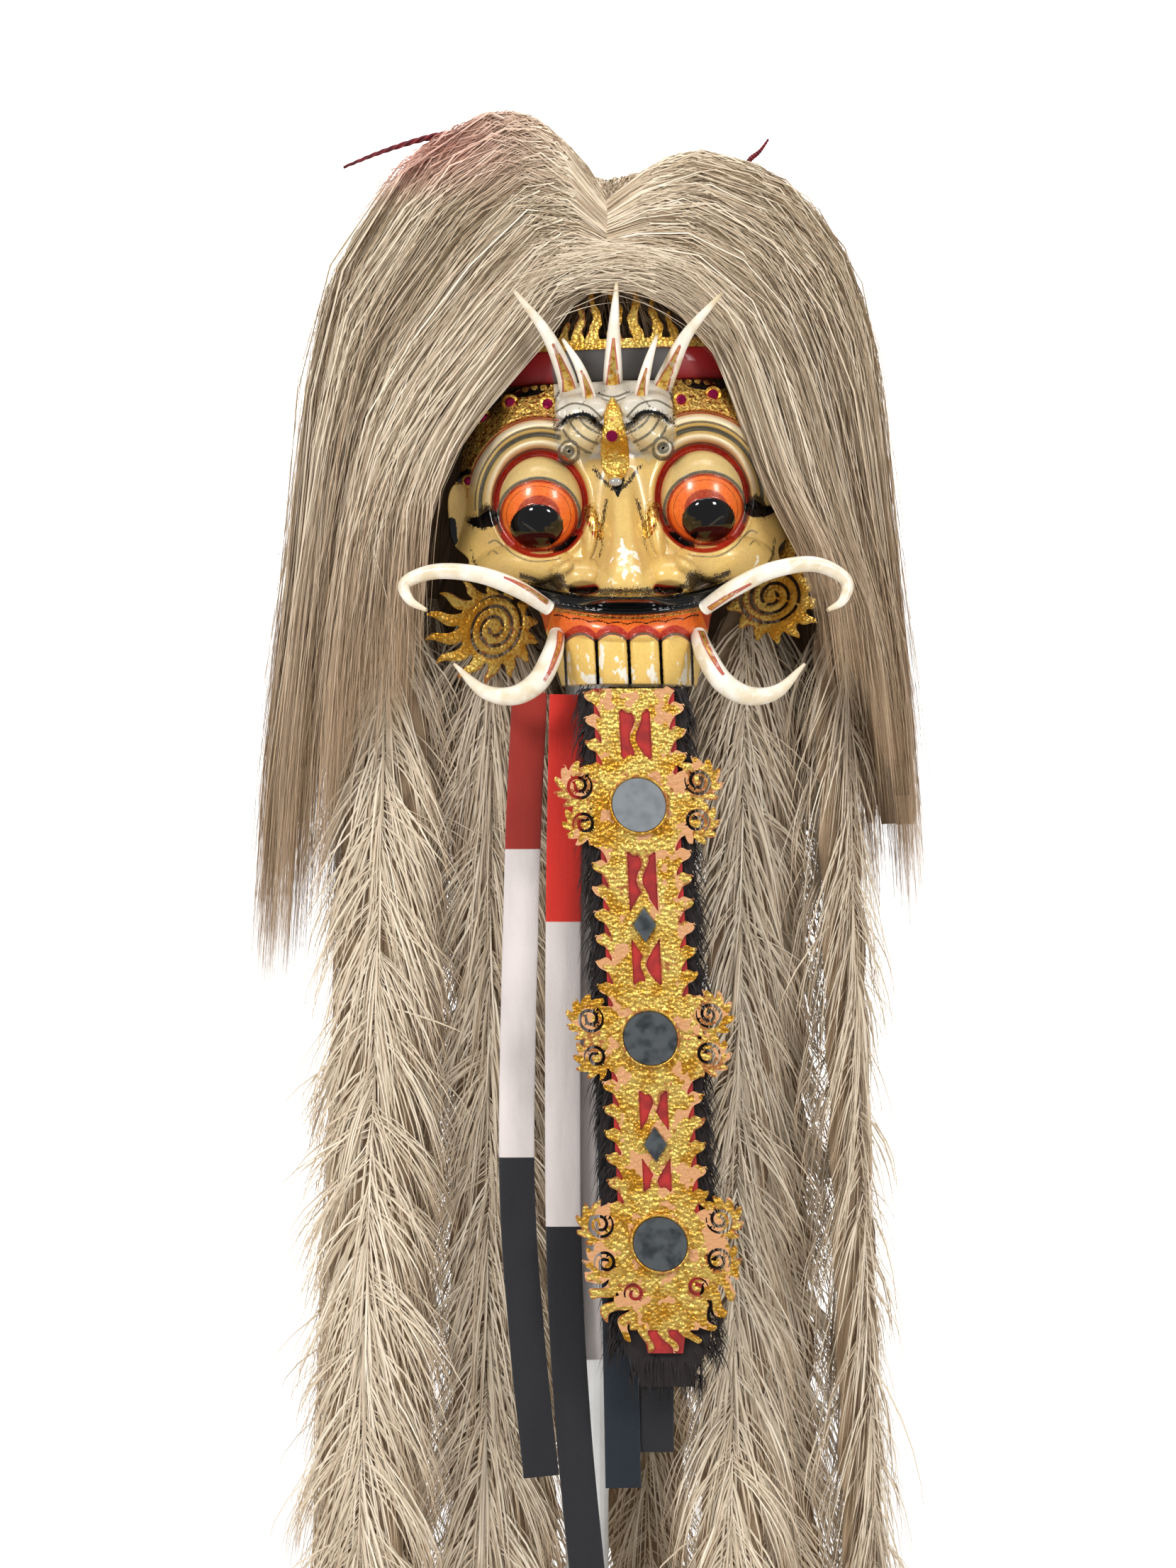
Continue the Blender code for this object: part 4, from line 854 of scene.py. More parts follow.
def ivory_finish():
    made = Finish("ivory paint", roughness=0.32, coat_weight=0.4, coat_roughness=0.15)
    colour = made.mix(made.step(made.noise(38, 4.0), 0.4, 0.68), rgb(238, 230, 214), rgb(216, 198, 166))
    tip = made.step(made.value("share"), 0.86, 1.0)
    colour = made.mix(made.times(tip, 0.6), colour, rgb(206, 178, 134))
    groove = made.value("groove")
    gold = made.step(groove, 0.0, 0.1)
    colour = made.mix(made.times(made.step(groove, -0.2, -0.1), 0.9), colour, rgb(170, 52, 30))
    leaf = made.mix(made.step(made.noise(260, 3.0), 0.45, 0.6), GOLD_LIGHT, GOLD_DEEP)
    colour = made.mix(gold, colour, leaf)
    worn = made.step(made.noise(110, 4.0), 0.58, 0.62)
    colour = made.mix(made.times(worn, 0.35), colour, rgb(246, 242, 234))
    made.set(base_color=colour, metallic=made.times(gold, 0.8))
    made.bump(made.noise(140, 4.0), 0.25, 0.0008)
    return made.material


def make_horns_and_tusks(finish):
    def grown(name, line, radii, length, width, sides, root, turn=0.0):
        """A horn whose gilded groove is width wide at its root and runs to length of the way."""
        shares = np.linspace(0, 1, len(radii))
        turns = np.linspace(0, 2 * np.pi, sides, endpoint=False)
        off = np.abs((turns - np.pi / 2 - turn + np.pi) % (2 * np.pi) - np.pi)
        groove = width * np.clip(1 - (shares[:, None] / length) ** 1.4, 0, 1) - off[None, :]
        groove = np.where((shares[:, None] < length) & (shares[:, None] > root), groove, -1)
        dip = 1 - 0.12 * ease(-0.1, 0.3, groove)
        points, faces = tube(bend(line, len(radii)), radii[:, None] * dip, sides)
        horn = add_mesh(name + "_carved", points, faces, finish)
        keep(horn, "share", np.concatenate((np.repeat(shares, sides), (0, 1))))
        keep(horn, "groove", np.concatenate((groove.ravel(), (-1, -1))))
        settle(horn, name)

    for name, line, radius in HORNS:
        shares = np.linspace(0, 1, HORN_STEPS)
        radii = MM * (radius * 1.14 * (1 - shares**1.8) + 1.3)
        grown(name, [on_face(*place) for place in line], radii, 0.62, 0.75, 24, 0.03)
    for kind, line, widths, length, turn in TUSKS:
        stops = np.linspace(0, 1, len(widths))
        radii = through(list(zip(stops, widths)), np.linspace(0, 1, TUSK_STEPS)) * MM
        for side_name, side in SIDES:
            places = [on_face(side * u, v, d) for u, v, d in line]
            grown(f"{kind}_{side_name}", places, radii, length, 0.3, 32, 0.02, turn)


# The stones over the brows: u, v and radius on the face
BROW_STONES = (
    (-91.3, 123, 5.4), (-59.2, 119.2, 5.3), (-115.6, 112.1, 5.3), (-130.5, 58.2, 4.4),
    (54.8, 118.6, 5.2), (82.4, 122.7, 5.5), (113.7, 111.8, 5.3),
)


def make_brow_stones(stone, rim):
    """Faceted stones in round gilded settings."""
    for k, (u, v, radius) in enumerate(BROW_STONES):
        d = float(face_depth(u, v))
        half = float(through(HALF_WIDTH_KEYS, v)) - 3
        centre = Vector(on_face(max(-half, min(half, u)), v, d + 0.5))
        for kind, size, depth, segments, finish, slot in (
            ("setting", radius * 1.35, 2.2, 20, rim, "gilding"),
            ("stone", radius, 4.0, 8, stone, "mirror_glass"),
        ):
            def place(x, y, z):
                return centre + Vector((x * size, -z * depth, y * size)) * MM

            bm = bmesh.new()
            bmesh.ops.create_uvsphere(bm, u_segments=segments, v_segments=6, radius=1.0)
            settle(set_in(f"brow_{kind}_{k + 1}", bm, place, finish, smooth=kind == "setting"))


# Hair
SIDE_REACH = {-1: 316 * MM, 1: 290 * MM}
BACK_REACH = 172 * MM
FRONT_REACH = {-1: 216 * MM, 1: 250 * MM}
PARTING_X = 17 * MM
PARTING_GAP = -1.0 * MM
PARTING_HEIGHT = 1470 * MM
PARTING_FRONT = -140 * MM
PARTING_BACK = 60 * MM
CROWN_RISE = {-1: 76 * MM, 1: 44 * MM}
PARTING_RISE = 40 * MM
SIDE_OUT = ((0, 0.0), (0.1, 0.22), (0.2, 0.47), (0.3, 0.67), (0.42, 0.79), (0.6, 0.87), (0.8, 0.95), (1, 1.0))
SIDE_DOWN = (
    (0, 0.0), (0.1, -0.105), (0.2, -0.085), (0.3, 0.02), (0.42, 0.13), (0.6, 0.40), (0.8, 0.68), (1, 1.0)
)
FRONT_OUT = {
    -1: ((0, 0.0), (0.1, 0.2), (0.2, 0.36), (0.4, 0.73), (0.55, 0.90), (0.75, 0.99), (1, 1.04)),
    1: ((0, 0.0), (0.1, 0.27), (0.2, 0.48), (0.4, 0.66), (0.55, 0.75), (0.75, 0.94), (1, 1.03)),
}
FRONT_DOWN = ((0, 0.112), (0.1, 0.142), (0.2, 0.228), (0.4, 0.424), (0.55, 0.539), (0.75, 0.712), (1, 1.0))
FRONT_ANGLE = {-1: 235.0, 1: 320.0}
FRONT_FALL_BACK = {-1: 0.26, 1: 0.1}
LOCKS = 9
LOCK_RELIEF = 5 * MM
HAIR_THICKNESS = 17 * MM
HAIRS_A_SIDE = 9600
STRAY_OUT = 20 * MM


def strand(side, along, share, lift):
    """Places on the outer face of the hair: along from the front edge, 0, to the middle of the back, 1."""
    along, share, lift = np.broadcast_arrays(along, share, lift)
    start, back = FRONT_ANGLE[side], 90.0 if side < 0 else 450.0
    angle = np.radians(start + (back - start) * along)
    side_blend = ease(0.0, 0.3, along)
    out = (1 - side_blend) * through(FRONT_OUT[side], share) + side_blend * through(SIDE_OUT, share)
    fall = (448 + 268 * side_blend) * MM
    down = (1 - side_blend) * through(FRONT_DOWN, share) * fall
    side_down = through(SIDE_DOWN, share)
    middle = ease(0.6, 1.0, along)
    rise = ((1 - middle) * CROWN_RISE[side] + middle * PARTING_RISE) / (0.105 * fall)
    side_down = np.where(side_down < 0, side_down * rise, side_down)
    down = down + side_blend * side_down * fall
    reach_x = SIDE_REACH[side] * (0.892 + 0.108 * side_blend)
    front_reach = FRONT_REACH[side] * (1 - FRONT_FALL_BACK[side] * ease(0.58, 0.85, share))
    reach_y = np.where(np.sin(angle) < 0, front_reach, BACK_REACH)
    origin_y = PARTING_FRONT + (PARTING_BACK - PARTING_FRONT) * along
    x_limit = PARTING_X + side * PARTING_GAP / 2
    x = x_limit + (reach_x * out + lift) * np.cos(angle)
    y = origin_y * (1 - out) + (reach_y * out + lift) * np.sin(angle)
    x = np.minimum(x, x_limit) if side < 0 else np.maximum(x, x_limit)
    return np.stack((x, y, PARTING_HEIGHT - down + lift * (1 - out)), -1)


def lock_fold(along, share):
    """How far the locks of a curtain stand out and in."""
    return LOCK_RELIEF * np.cos(2 * np.pi * LOCKS * along) * ease(0.1, 0.4, share)


def between(low, high, count):
    """One random number a hair, from low to high, as a column."""
    return dice.uniform(low, high, count)[:, None]


def either_side(count):
    return np.where(dice.random(count) < 0.5, -1.0, 1.0)


def hold_in(paths):
    """Stops hairs that stray further to the sides than they may."""
    paths[:, :, 0] = np.clip(paths[:, :, 0], cad_low[0] - STRAY_OUT, cad_high[0] + STRAY_OUT)


def hair_mass(name, side, under):
    """The body of a curtain, which closes the gaps between its strands; its darker hair is painted shade."""
    rows, columns = 30, 70
    along = np.linspace(0.045, 1, columns)[None, :] * np.ones((rows, 1))
    hem = 0.80 + 0.07 * np.abs(np.sin(along * 23)) - 0.06 * np.abs(np.sin(along * 61 + 1))
    share = np.linspace(0, 1, rows)[:, None] * hem
    thin = 1 - 0.75 * ease(0.8, 1.0, share) - 0.25 * (1 - ease(0, 0.15, along))
    outer = strand(side, along, share, lock_fold(along, share) - LOCK_RELIEF - 3 * MM)
    inner = strand(side, along, share, -LOCK_RELIEF - HAIR_THICKNESS * thin)
    points = np.concatenate((outer.reshape(-1, 3), inner.reshape(-1, 3)))
    mass = add_mesh(name + "_mass", points, shell_faces(rows, columns), under)
    wander = 7 * np.sin(along * 31 + share * 5) + 5 * np.sin(share * 17 + along * 60)
    keep(mass, "tint", np.tile(0.35 + 0.2 * np.sin(along * 47).ravel(), 2))
    keep(mass, "edge", np.tile((along * 140 + 0.3 * wander * share).ravel(), 2))
    keep(mass, "share", np.tile(share.ravel(), 2))
    settle(mass)


def hair_strands(name, side, finish):
    """The hairs of a curtain: each falls from the parting and drifts towards the middle of its lock."""
    steps, count = 9, HAIRS_A_SIDE
    root = 0.028 + 0.972 * dice.random(count) ** 1.1
    lock_at = np.round(root * LOCKS * 5) / (LOCKS * 5)
    lock_long = 0.06 * np.sin(lock_at * 173) + (0.0 if side < 0 else -0.06)
    pull = between(0.1, 0.95, count)
    reach = np.minimum(0.95 + lock_long - 0.2 * dice.random(count) ** 2.2, 1.0)
    begin = np.where(dice.random(count) < 0.35, 0.12 * dice.random(count), 0.0)[:, None]
    t = np.linspace(0, 1, steps)[None, :] ** 1.35
    share = begin + t * (reach[:, None] - begin)
    along = root[:, None] + (lock_at - root)[:, None] * pull * ease(0.35, 1.0, t)
    drift = dice.normal(0, 0.036, count)[:, None] * (t - 0.35) * ease(0.0, 0.2, t)
    wave = dice.normal(0, 0.008, count)[:, None] * np.sin(t * between(3, 11, count))
    along = np.clip(along + drift + wave, 0.0, 0.999)
    depth = dice.uniform(-12, 4, count)
    depth = np.where((dice.random(count) < 0.35) & (root < 0.08), dice.uniform(-24, -12, count), depth)
    lift = depth[:, None] * MM + lock_fold(along, share)
    loose = dice.random(count)[:, None]
    stray = np.where(loose < 0.09, between(4, 22, count), 0) * MM * t**2
    stray = stray + np.where(loose > 0.93, between(3, 13, count), 0) * MM * np.sin(np.pi * t)
    paths = strand(side, along, share, lift - LOCK_RELIEF + stray)
    facing = strand(side, along, share, lift + 20 * MM) - paths
    paths[:, :, 2] -= (dice.random(count)[:, None] * 10 * MM) * t
    hold_in(paths)
    tilt = dice.normal(0, 0.4, (count, 1, 3))
    widths = np.broadcast_to(between(0.75, 1.7, count) * MM * (1.02 - t**3), (count, steps))
    tints = np.clip(dice.normal(0.56, 0.24, count) + 0.16 * np.sin(lock_at * 91), 0, 1)
    settle(ribbons(name + "_strands", paths, widths, unit(unit(facing) + tilt), finish, tints), name)


def make_hair(finish, under):
    for side_name, side in SIDES:
        hair_mass("hair_" + side_name, side, under)
        hair_strands("hair_" + side_name, side, finish)


def make_wisps(hair, under):
    """Loose short hair: under the parting, in an arch over the crown, and blown out at the top left."""
    steps = 7
    t = np.linspace(0, 1, steps)[None, :]

    def wisp(name, x, y, z, thick, tones, finish):
        path = np.stack(np.broadcast_arrays(x, y, z), -1) * MM
        count = len(path)
        widths = np.broadcast_to(between(*thick, count) * MM * (1.05 - t), (count, steps))
        facing = np.array((0.0, -1.0, 0.3)) + dice.normal(0, 0.4, (count, 1, 3)) + np.zeros((count, steps, 3))
        tints = np.clip(dice.normal(*tones, count), 0, 1)
        settle(ribbons(name, path, widths, unit(facing), finish, tints))

    count = 1200
    out = either_side(count)[:, None] * between(15, 125, count)
    x = PARTING_X / MM + dice.normal(0, 8, count)[:, None] + out * t
    y = between(-104, -66, count) + dice.normal(0, 5, count)[:, None] * t
    z = 1424 + dice.normal(0, 7, count)[:, None] - between(15, 130, count) * t**1.4
    z = z + dice.normal(0, 7, count)[:, None] * np.sin(4 * t)
    # the wisps under the parting take the darker under hair, as painted shade
    wisp("parting_wisps", x, y, z, (0.7, 1.4), (0.42, 0.25), under)

    count = 420
    sideways = either_side(count)[:, None] * (between(50, 150, count) * t - between(0, 45, count))
    x = PARTING_X / MM + sideways
    y = between(-156, -134, count) + 12 * t
    slope = dice.normal(0, 0.16, count)[:, None]
    z = 1404 + dice.normal(0, 9, count)[:, None] + slope * sideways - 0.0042 * sideways**2
    wisp("arch_wisps", x, y, z, (0.6, 1.1), (0.5, 0.25), hair)

    count = 340
    start, end = between(-110, -30, count), between(-222, -150, count)
    x = start + (end - start) * t
    y = between(-70, 60, count) + dice.normal(0, 8, count)[:, None] * t
    high = 1524 - 0.1 * np.abs(start + 60)
    z = high - 4 + (between(1440, 1502, count) - high) * t**1.7 + between(-6, 9, count) * np.sin(np.pi * t)
    wisp("blown_wisps", x, y, z, (0.7, 1.3), (0.6, 0.2), hair)


# The ropes: the middle of the top and of the foot, which way they face in degrees, and their half width
PLUMES = (
    ("plume_front_left", (-171, -53), (-202, -105), 262, 58),
    ("plume_inner_left", (-82, -44), (-89, -40), 268, 55),
    ("plume_front_right", (139, -38), (119, -118), 272, 46),
    ("plume_inner_right", (152, 6), (172, -68), 275, 55),
    ("plume_side_right", (215, -36), (249, -52), 325, 57.5),
    ("plume_side_left", (-198, 8), (-235, 12), 180, 57.5),
    ("plume_back_left", (-145, 60), (-180, 94), 132, 58.75),
    ("plume_rear_left", (-58, 92), (-66, 136), 98, 60),
    ("plume_rear_right", (52, 92), (56, 136), 86, 60),
    ("plume_back_right", (142, 60), (180, 94), 52, 58.75),
)
PLUME_TOP = 1130 * MM
PLUME_FOOT = 75 * MM
PLUME_TIERS = 24


def plume_place(top, foot, share):
    top, foot = np.array(top) * MM, np.array(foot) * MM
    flat = top + (foot - top) * np.asarray(share)[..., None]
    height = PLUME_TOP + (PLUME_FOOT - PLUME_TOP) * np.asarray(share)
    return np.concatenate((flat, height[..., None]), -1)


def plume_core(name, top, foot, across, forward, half_width, under):
    """The flat middle of a rope, with the slant of its tufts as a pattern; its darker hair is painted shade.
    """
    rows, sides = 60, 12
    shares = np.linspace(0, 0.95, rows)
    line = plume_place(top, foot, shares)
    wide = half_width * MM * (0.5 + 0.14 * np.abs(np.sin(np.pi * shares * PLUME_TIERS / 2)))
    wide = wide * (0.5 + 0.5 * ease(0, 0.05, shares))
    turns = np.linspace(0, 2 * np.pi, sides, endpoint=False)
    rings = (
        line[:, None]
        + (wide[:, None] * np.cos(turns))[..., None] * across
        + (5 * MM * np.sin(turns) * np.ones((rows, 1)))[..., None] * forward
    )
    core = add_mesh(name + "_core", rings.reshape(-1, 3), ring_faces(rows, sides), under)
    sideways = wide[:, None] * np.cos(turns) / MM
    slant = rings[:, :, 2] / MM + 2.4 * np.abs(sideways) + 900 * (sideways > 0)
    keep(core, "tint", (0.3 + 0.25 * np.sin(slant / 7.5)).ravel())
    keep(core, "edge", (0.15 * slant).ravel())
    keep(core, "share", np.full(rows * sides, 0.3))
    settle(core)


def plume_tufts(name, top, foot, across, forward, half_width, finish):
    """The hairs of a rope, which fall outwards from its middle in tufts, tier under tier."""
    steps = 6
    count = 3500 if "front" in name or "inner" in name else 1900
    side = either_side(count)
    tier = dice.integers(0, PLUME_TIERS, count)
    tuft = tier * 7 + dice.integers(0, 7, count) + 500 * (side > 0)
    own_spread, own_fall, own_root = (
        (np.sin(tuft * turn) * size) % 1 for turn, size in ((12.9, 437), (78.2, 197), (3.7, 91))
    )
    root = np.clip((tier + own_root) / PLUME_TIERS + dice.normal(0, 0.005, count), 0.0, 1.0) * 0.955
    t = np.linspace(0, 1, steps)[None, :]
    loose = dice.random(count) < 0.25
    spread = 0.12 + 1.05 * own_spread + dice.normal(0, 0.09, count) * np.where(loose, 2.5, 1.0)
    fall = (80 + 90 * own_fall) * (1.12 - 0.25 * spread) + dice.normal(0, 12, count)
    fall = np.minimum(fall, (1 - root) * (PLUME_TOP - PLUME_FOOT) / MM + 12)
    out = half_width * spread[:, None] * (1 - (1 - t) ** 1.7)
    depth = dice.uniform(-1.0, 1.0, count)
    depth = np.sign(depth) * np.abs(depth) ** 0.5 * 18
    path = plume_place(top, foot, root)[:, None, :] + np.zeros((count, steps, 1))
    path = path + (side[:, None] * out * MM)[..., None] * across
    path = path + (depth[:, None] * MM * np.sin(np.pi * (0.25 + 0.5 * t)))[..., None] * forward
    path[:, :, 2] -= fall[:, None] * MM * t**1.15
    wander = dice.normal(0, 2.6, (count, 1, 3)) * np.where(loose, 2.2, 1.0)[:, None, None]
    path = path + wander * MM * t[..., None] ** 1.5
    hold_in(path)
    facing_out = forward * np.sign(depth)[:, None, None] + dice.normal(0, 0.35, (count, 1, 3))
    taper = (0.35 + 0.65 * ease(0, 0.3, t)) * (1.04 - t**1.6)
    widths = np.broadcast_to(between(1.0, 2.3, count) * MM * taper, (count, steps))
    tints = np.clip(dice.normal(0.58, 0.22, count) + 0.35 * (own_fall - 0.5), 0, 1)
    settle(ribbons(name + "_tufts", path, widths, unit(facing_out), finish, tints), name)


def make_plumes(finish, under):
    for name, top, foot, facing, half_width in PLUMES:
        a = math.radians(facing)
        across = np.array((-math.sin(a), math.cos(a), 0.0))
        forward = np.array((math.cos(a), math.sin(a), 0.0))
        plume_core(name, top, foot, across, forward, half_width, under)
        plume_tufts(name, top, foot, across, forward, half_width, finish)


# The crown
CROWN_HALF_WIDTH = 150.0
CROWN_DEPTH = 104.0
CROWN_FRONT = 27.0
BAND_LOW = 138.5
BAND_HIGH = 166.0
BAND_PAD = 8.0
BAND_TURN = 50.0
FLAMES_TILT = 0.12
FLAMES_HALF = 174
FLAMES_HIGH = 66
FLAMES_MM_A_DEGREE = 2.35
PLATE = 2.2


def round_crown(turn, v, out):
    a = np.radians(turn)
    return on_face(
        (CROWN_HALF_WIDTH + out) * np.sin(a), v, CROWN_FRONT - CROWN_DEPTH + (CROWN_DEPTH + out) * np.cos(a)
    )


# Each flame: its middle across the brow, its height over the band and its width at the foot.
CROWN_FLAMES = (
    (-41, 26, 13), (-29, 42, 14), (-16, 52, 14), (2, 64, 15), (19, 61, 14), (36, 45, 14), (50, 33, 12),
    (60, 15, 10), (-54, 18, 12), (95, 30, 34), (78, 14, 14), (-68, 14, 14), (-84, 26, 20), (112, 18, 14),
    (-100, 20, 16), (-116, 24, 16), (126, 22, 14), (-130, 18, 14), (138, 16, 12),
)


def crown_shape(x, y):
    """The crown's cut: x is millimetres of arc from the middle of the brow, y is up from the band."""
    shape = 8.5 - y
    for middle, height, width in CROWN_FLAMES:
        turn = np.degrees(np.arcsin(middle / (CROWN_HALF_WIDTH + 1)))
        centre = turn * FLAMES_MM_A_DEGREE + 2.0 * np.sin(y / 5.4 + middle)
        half = 0.37 * width * np.clip(1 - y / height, 0, 1) ** 0.55 + 0.5 * np.sin(y / 1.9 + middle)
        shape = np.maximum(shape, np.minimum(half - np.abs(x - centre), height - y))
    return np.minimum(np.minimum(shape, y + 0.01), FLAMES_HALF - np.abs(x))


def make_crown(cloth, gold):
    """A padded band round the brow, and the cut flames that stand on it."""
    rows, sides = 61, 20
    turns = np.linspace(-BAND_TURN, BAND_TURN, rows)
    around = np.linspace(0, 2 * np.pi, sides, endpoint=False)
    middle, half = (BAND_LOW + BAND_HIGH) / 2, (BAND_HIGH - BAND_LOW) / 2
    t, a = np.meshgrid(turns, around, indexing="ij")
    swollen = BAND_PAD / 2 * (1 + np.cos(a))
    points = round_crown(t, middle + half * np.clip(np.sin(a) * 1.06, -1, 1), swollen)
    band = add_mesh("padded_band", points.reshape(-1, 3), ring_faces(rows, sides), cloth)
    keep(band, "turn", t.ravel())
    settle(band, "crown_band")

    def place(x, y, out):
        return round_crown(x / FLAMES_MM_A_DEGREE, BAND_HIGH + 0.3 + y, 1 + out - FLAMES_TILT * y)

    def relief(x, y):
        return 0.7 * np.clip(1 - np.abs(y - 3.5) / 2, 0, 1) * np.abs(np.sin(x / 2.2))

    low, high = (-FLAMES_HALF, 0), (FLAMES_HALF, FLAMES_HIGH)
    flames = pierced("cut_flames", crown_shape, low, high, 1.35, place, PLATE, relief, gold)
    settle(flames, "crown_flames")


# The pierced discs of the ears: side, middle on the face, turn, radius, the way of the long flames, and the
# start of the spiral
EARS = (
    ("left", (-115.0, -73.0, -3.3), -12.0, 31.0, 3.3, 1.0),
    ("right", (128.0, -45.0, -8.2), 14.0, 32.0, 1.9, 0.4),
)
EAR_SHORT = 10.0
EAR_LONG = 33.0
EAR_FLAMES = 14
EAR_THICKNESS = 2.0
SPIRAL_TURN = 0.9
FLAME_BEND = 0.45


def ear_outline(radius, toward, fine):
    """A round plate's outline: its flames are longest on the side that toward gives, and bend that way."""
    outline = []
    step = 2 * math.pi / EAR_FLAMES
    for k in range(EAR_FLAMES):
        near, far = step * k, step * (k + 0.8)
        middle = (near + far) / 2
        turn = (toward - middle + math.pi) % (2 * math.pi) - math.pi
        ahead = 0.5 + 0.5 * math.cos(turn)
        long = EAR_SHORT + (EAR_LONG - EAR_SHORT) * ahead**1.6
        heading = middle + FLAME_BEND * ahead * turn
        tip = (
            radius * math.cos(middle) + long * math.cos(heading),
            radius * math.sin(middle) + long * math.sin(heading),
        )
        near_side, far_side = [], []
        for i in range(fine + 1):
            share = i / (fine + 1)
            wave = 0.07 * long * math.sin(2 * math.pi * share)
            belly = 0.05 * long * math.sin(math.pi * share)
            for side, foot, out in ((near_side, near, wave - belly), (far_side, far, wave + belly)):
                x = radius * math.cos(foot) * (1 - share) + tip[0] * share - out * math.sin(heading)
                y = radius * math.sin(foot) * (1 - share) + tip[1] * share + out * math.cos(heading)
                side.append((x, y))
        outline += near_side + [tip] + far_side[::-1]
    return outline


def inside_outline(x, y, outline):
    """How far inside a closed outline each place is, below 0 outside it."""
    nearest, crossed = np.full(np.shape(x), 1e9), np.zeros(np.shape(x), int)
    for (ax, ay), (bx, by) in zip(outline, outline[1:] + outline[:1]):
        dx, dy = bx - ax, by - ay
        share = np.clip(((x - ax) * dx + (y - ay) * dy) / (dx * dx + dy * dy), 0, 1)
        nearest = np.minimum(nearest, np.hypot(x - ax - share * dx, y - ay - share * dy))
        crossed += ((ay > y) != (by > y)) & (x < ax + (y - ay) / (dy or 1e-9) * dx)
    return np.where(crossed % 2 == 1, nearest, -nearest)


def make_ears(gold):
    for name, (cu, cv, cd), turn, radius, toward, start in EARS:
        side = -1 if cu < 0 else 1
        swing = math.radians(turn)
        outline = ear_outline(radius, toward, 5)

        def shape(x, y):
            shape = inside_outline(x, y, outline)
            tall = x * math.cos(toward + SPIRAL_TURN) + y * math.sin(toward + SPIRAL_TURN)
            wide = y * math.cos(toward + SPIRAL_TURN) - x * math.sin(toward + SPIRAL_TURN)
            r, th = np.hypot(tall / 1.14, wide / 0.92), np.arctan2(wide, tall)
            winding = (th + start) / (2 * np.pi)
            for lap in range(3):
                slot_r = 3.5 + 8.4 * (lap + winding % 1.0)
                slot = np.minimum(1.35 - np.abs(r - slot_r), 27 - r)
                bridge = np.abs(((winding + lap) * 3.0 % 1.0) - 0.5) * 2 * np.pi * r / 3.0 - 0.9
                shape = np.minimum(shape, -np.minimum(slot, bridge))
            return shape

        def place(x, y, out):
            across = -side * x
            return on_face(
                cu + across * math.cos(swing) - out * math.sin(swing),
                cv + y,
                cd + across * math.sin(swing) + out * math.cos(swing),
            )

        def relief(x, y):
            return 0.6 * ease(0.0, 2.5, shape(x, y))

        size = radius + EAR_LONG + 1
        low, high = (-size, -size), (size, size)
        ear = pierced("pierced_ear_" + name, shape, low, high, 1.1, place, EAR_THICKNESS, relief, gold)
        settle(ear, "ear_" + name)


# The tongue
TONGUE_LENGTH = 577.0
TONGUE_WIDTH = 70.0
TONGUE_Y = -185.0
TONGUE_DRIFT = 28.0
TONGUE_TOP = float(on_face(0, TEETH_FOOT, 0)[2]) / MM - 4
GILT_THICKNESS = 1.4
GILT_OUT = 0.3
# Shares of the way down for the mirrors and the diamonds, and the top, foot and half width of each window
MIRROR_PLACES = (0.17, 0.51, 0.81)
DIAMOND_PLACES = (0.345, 0.665)
WINDOWS = ((17, 60, 13), (137, 190, 12), (208, 250, 12), (338, 380, 12), (392, 424, 12))
MIRROR_RADIUS = 23.0
RIM_RADIUS = 24.2
GLASS_OUT = 4.0
FUR_HAIRS = 4600


def on_tongue(x, down, out):
    """Places on the tongue in millimetres: across, down from its top, and forward of the leather."""
    x, down, out = np.broadcast_arrays(*(np.asarray(v, float) for v in (x, down, out)))
    middle = FACE_OFFSET / MM + 8 + TONGUE_DRIFT * down / TONGUE_LENGTH
    return np.stack((middle + x, TONGUE_Y - out, TONGUE_TOP - down), -1) * MM


def scroll(x, y, cx, cy, radius, hand, tilt):
    """A small flaming disc with a spiral cut through it: its body, and the cut."""
    dx, dy = (x - cx) * hand, y - cy
    r, th = np.hypot(dx, dy), np.arctan2(dy, dx) + tilt
    beyond = np.clip((r - radius) / 7.5, 0, 1)
    phase = (th / (2 * np.pi) * 10 + 0.5 * beyond) % 1.0
    flame = (0.48 * (1 - beyond) ** 0.9 - np.abs(phase - 0.5)) * 2 * np.pi * r / 10
    body = np.maximum(radius - r, np.minimum(flame, radius + 7.5 - r))
    winding = (th / (2 * np.pi)) % 1.0
    cut = np.full(np.shape(x), -9.0)
    for lap in range(2):
        slot = 1.35 - np.abs(r - (2.6 + 5.6 * (lap + winding)))
        cut = np.maximum(cut, np.minimum(slot, radius - 3.2 - r))
    return body, cut


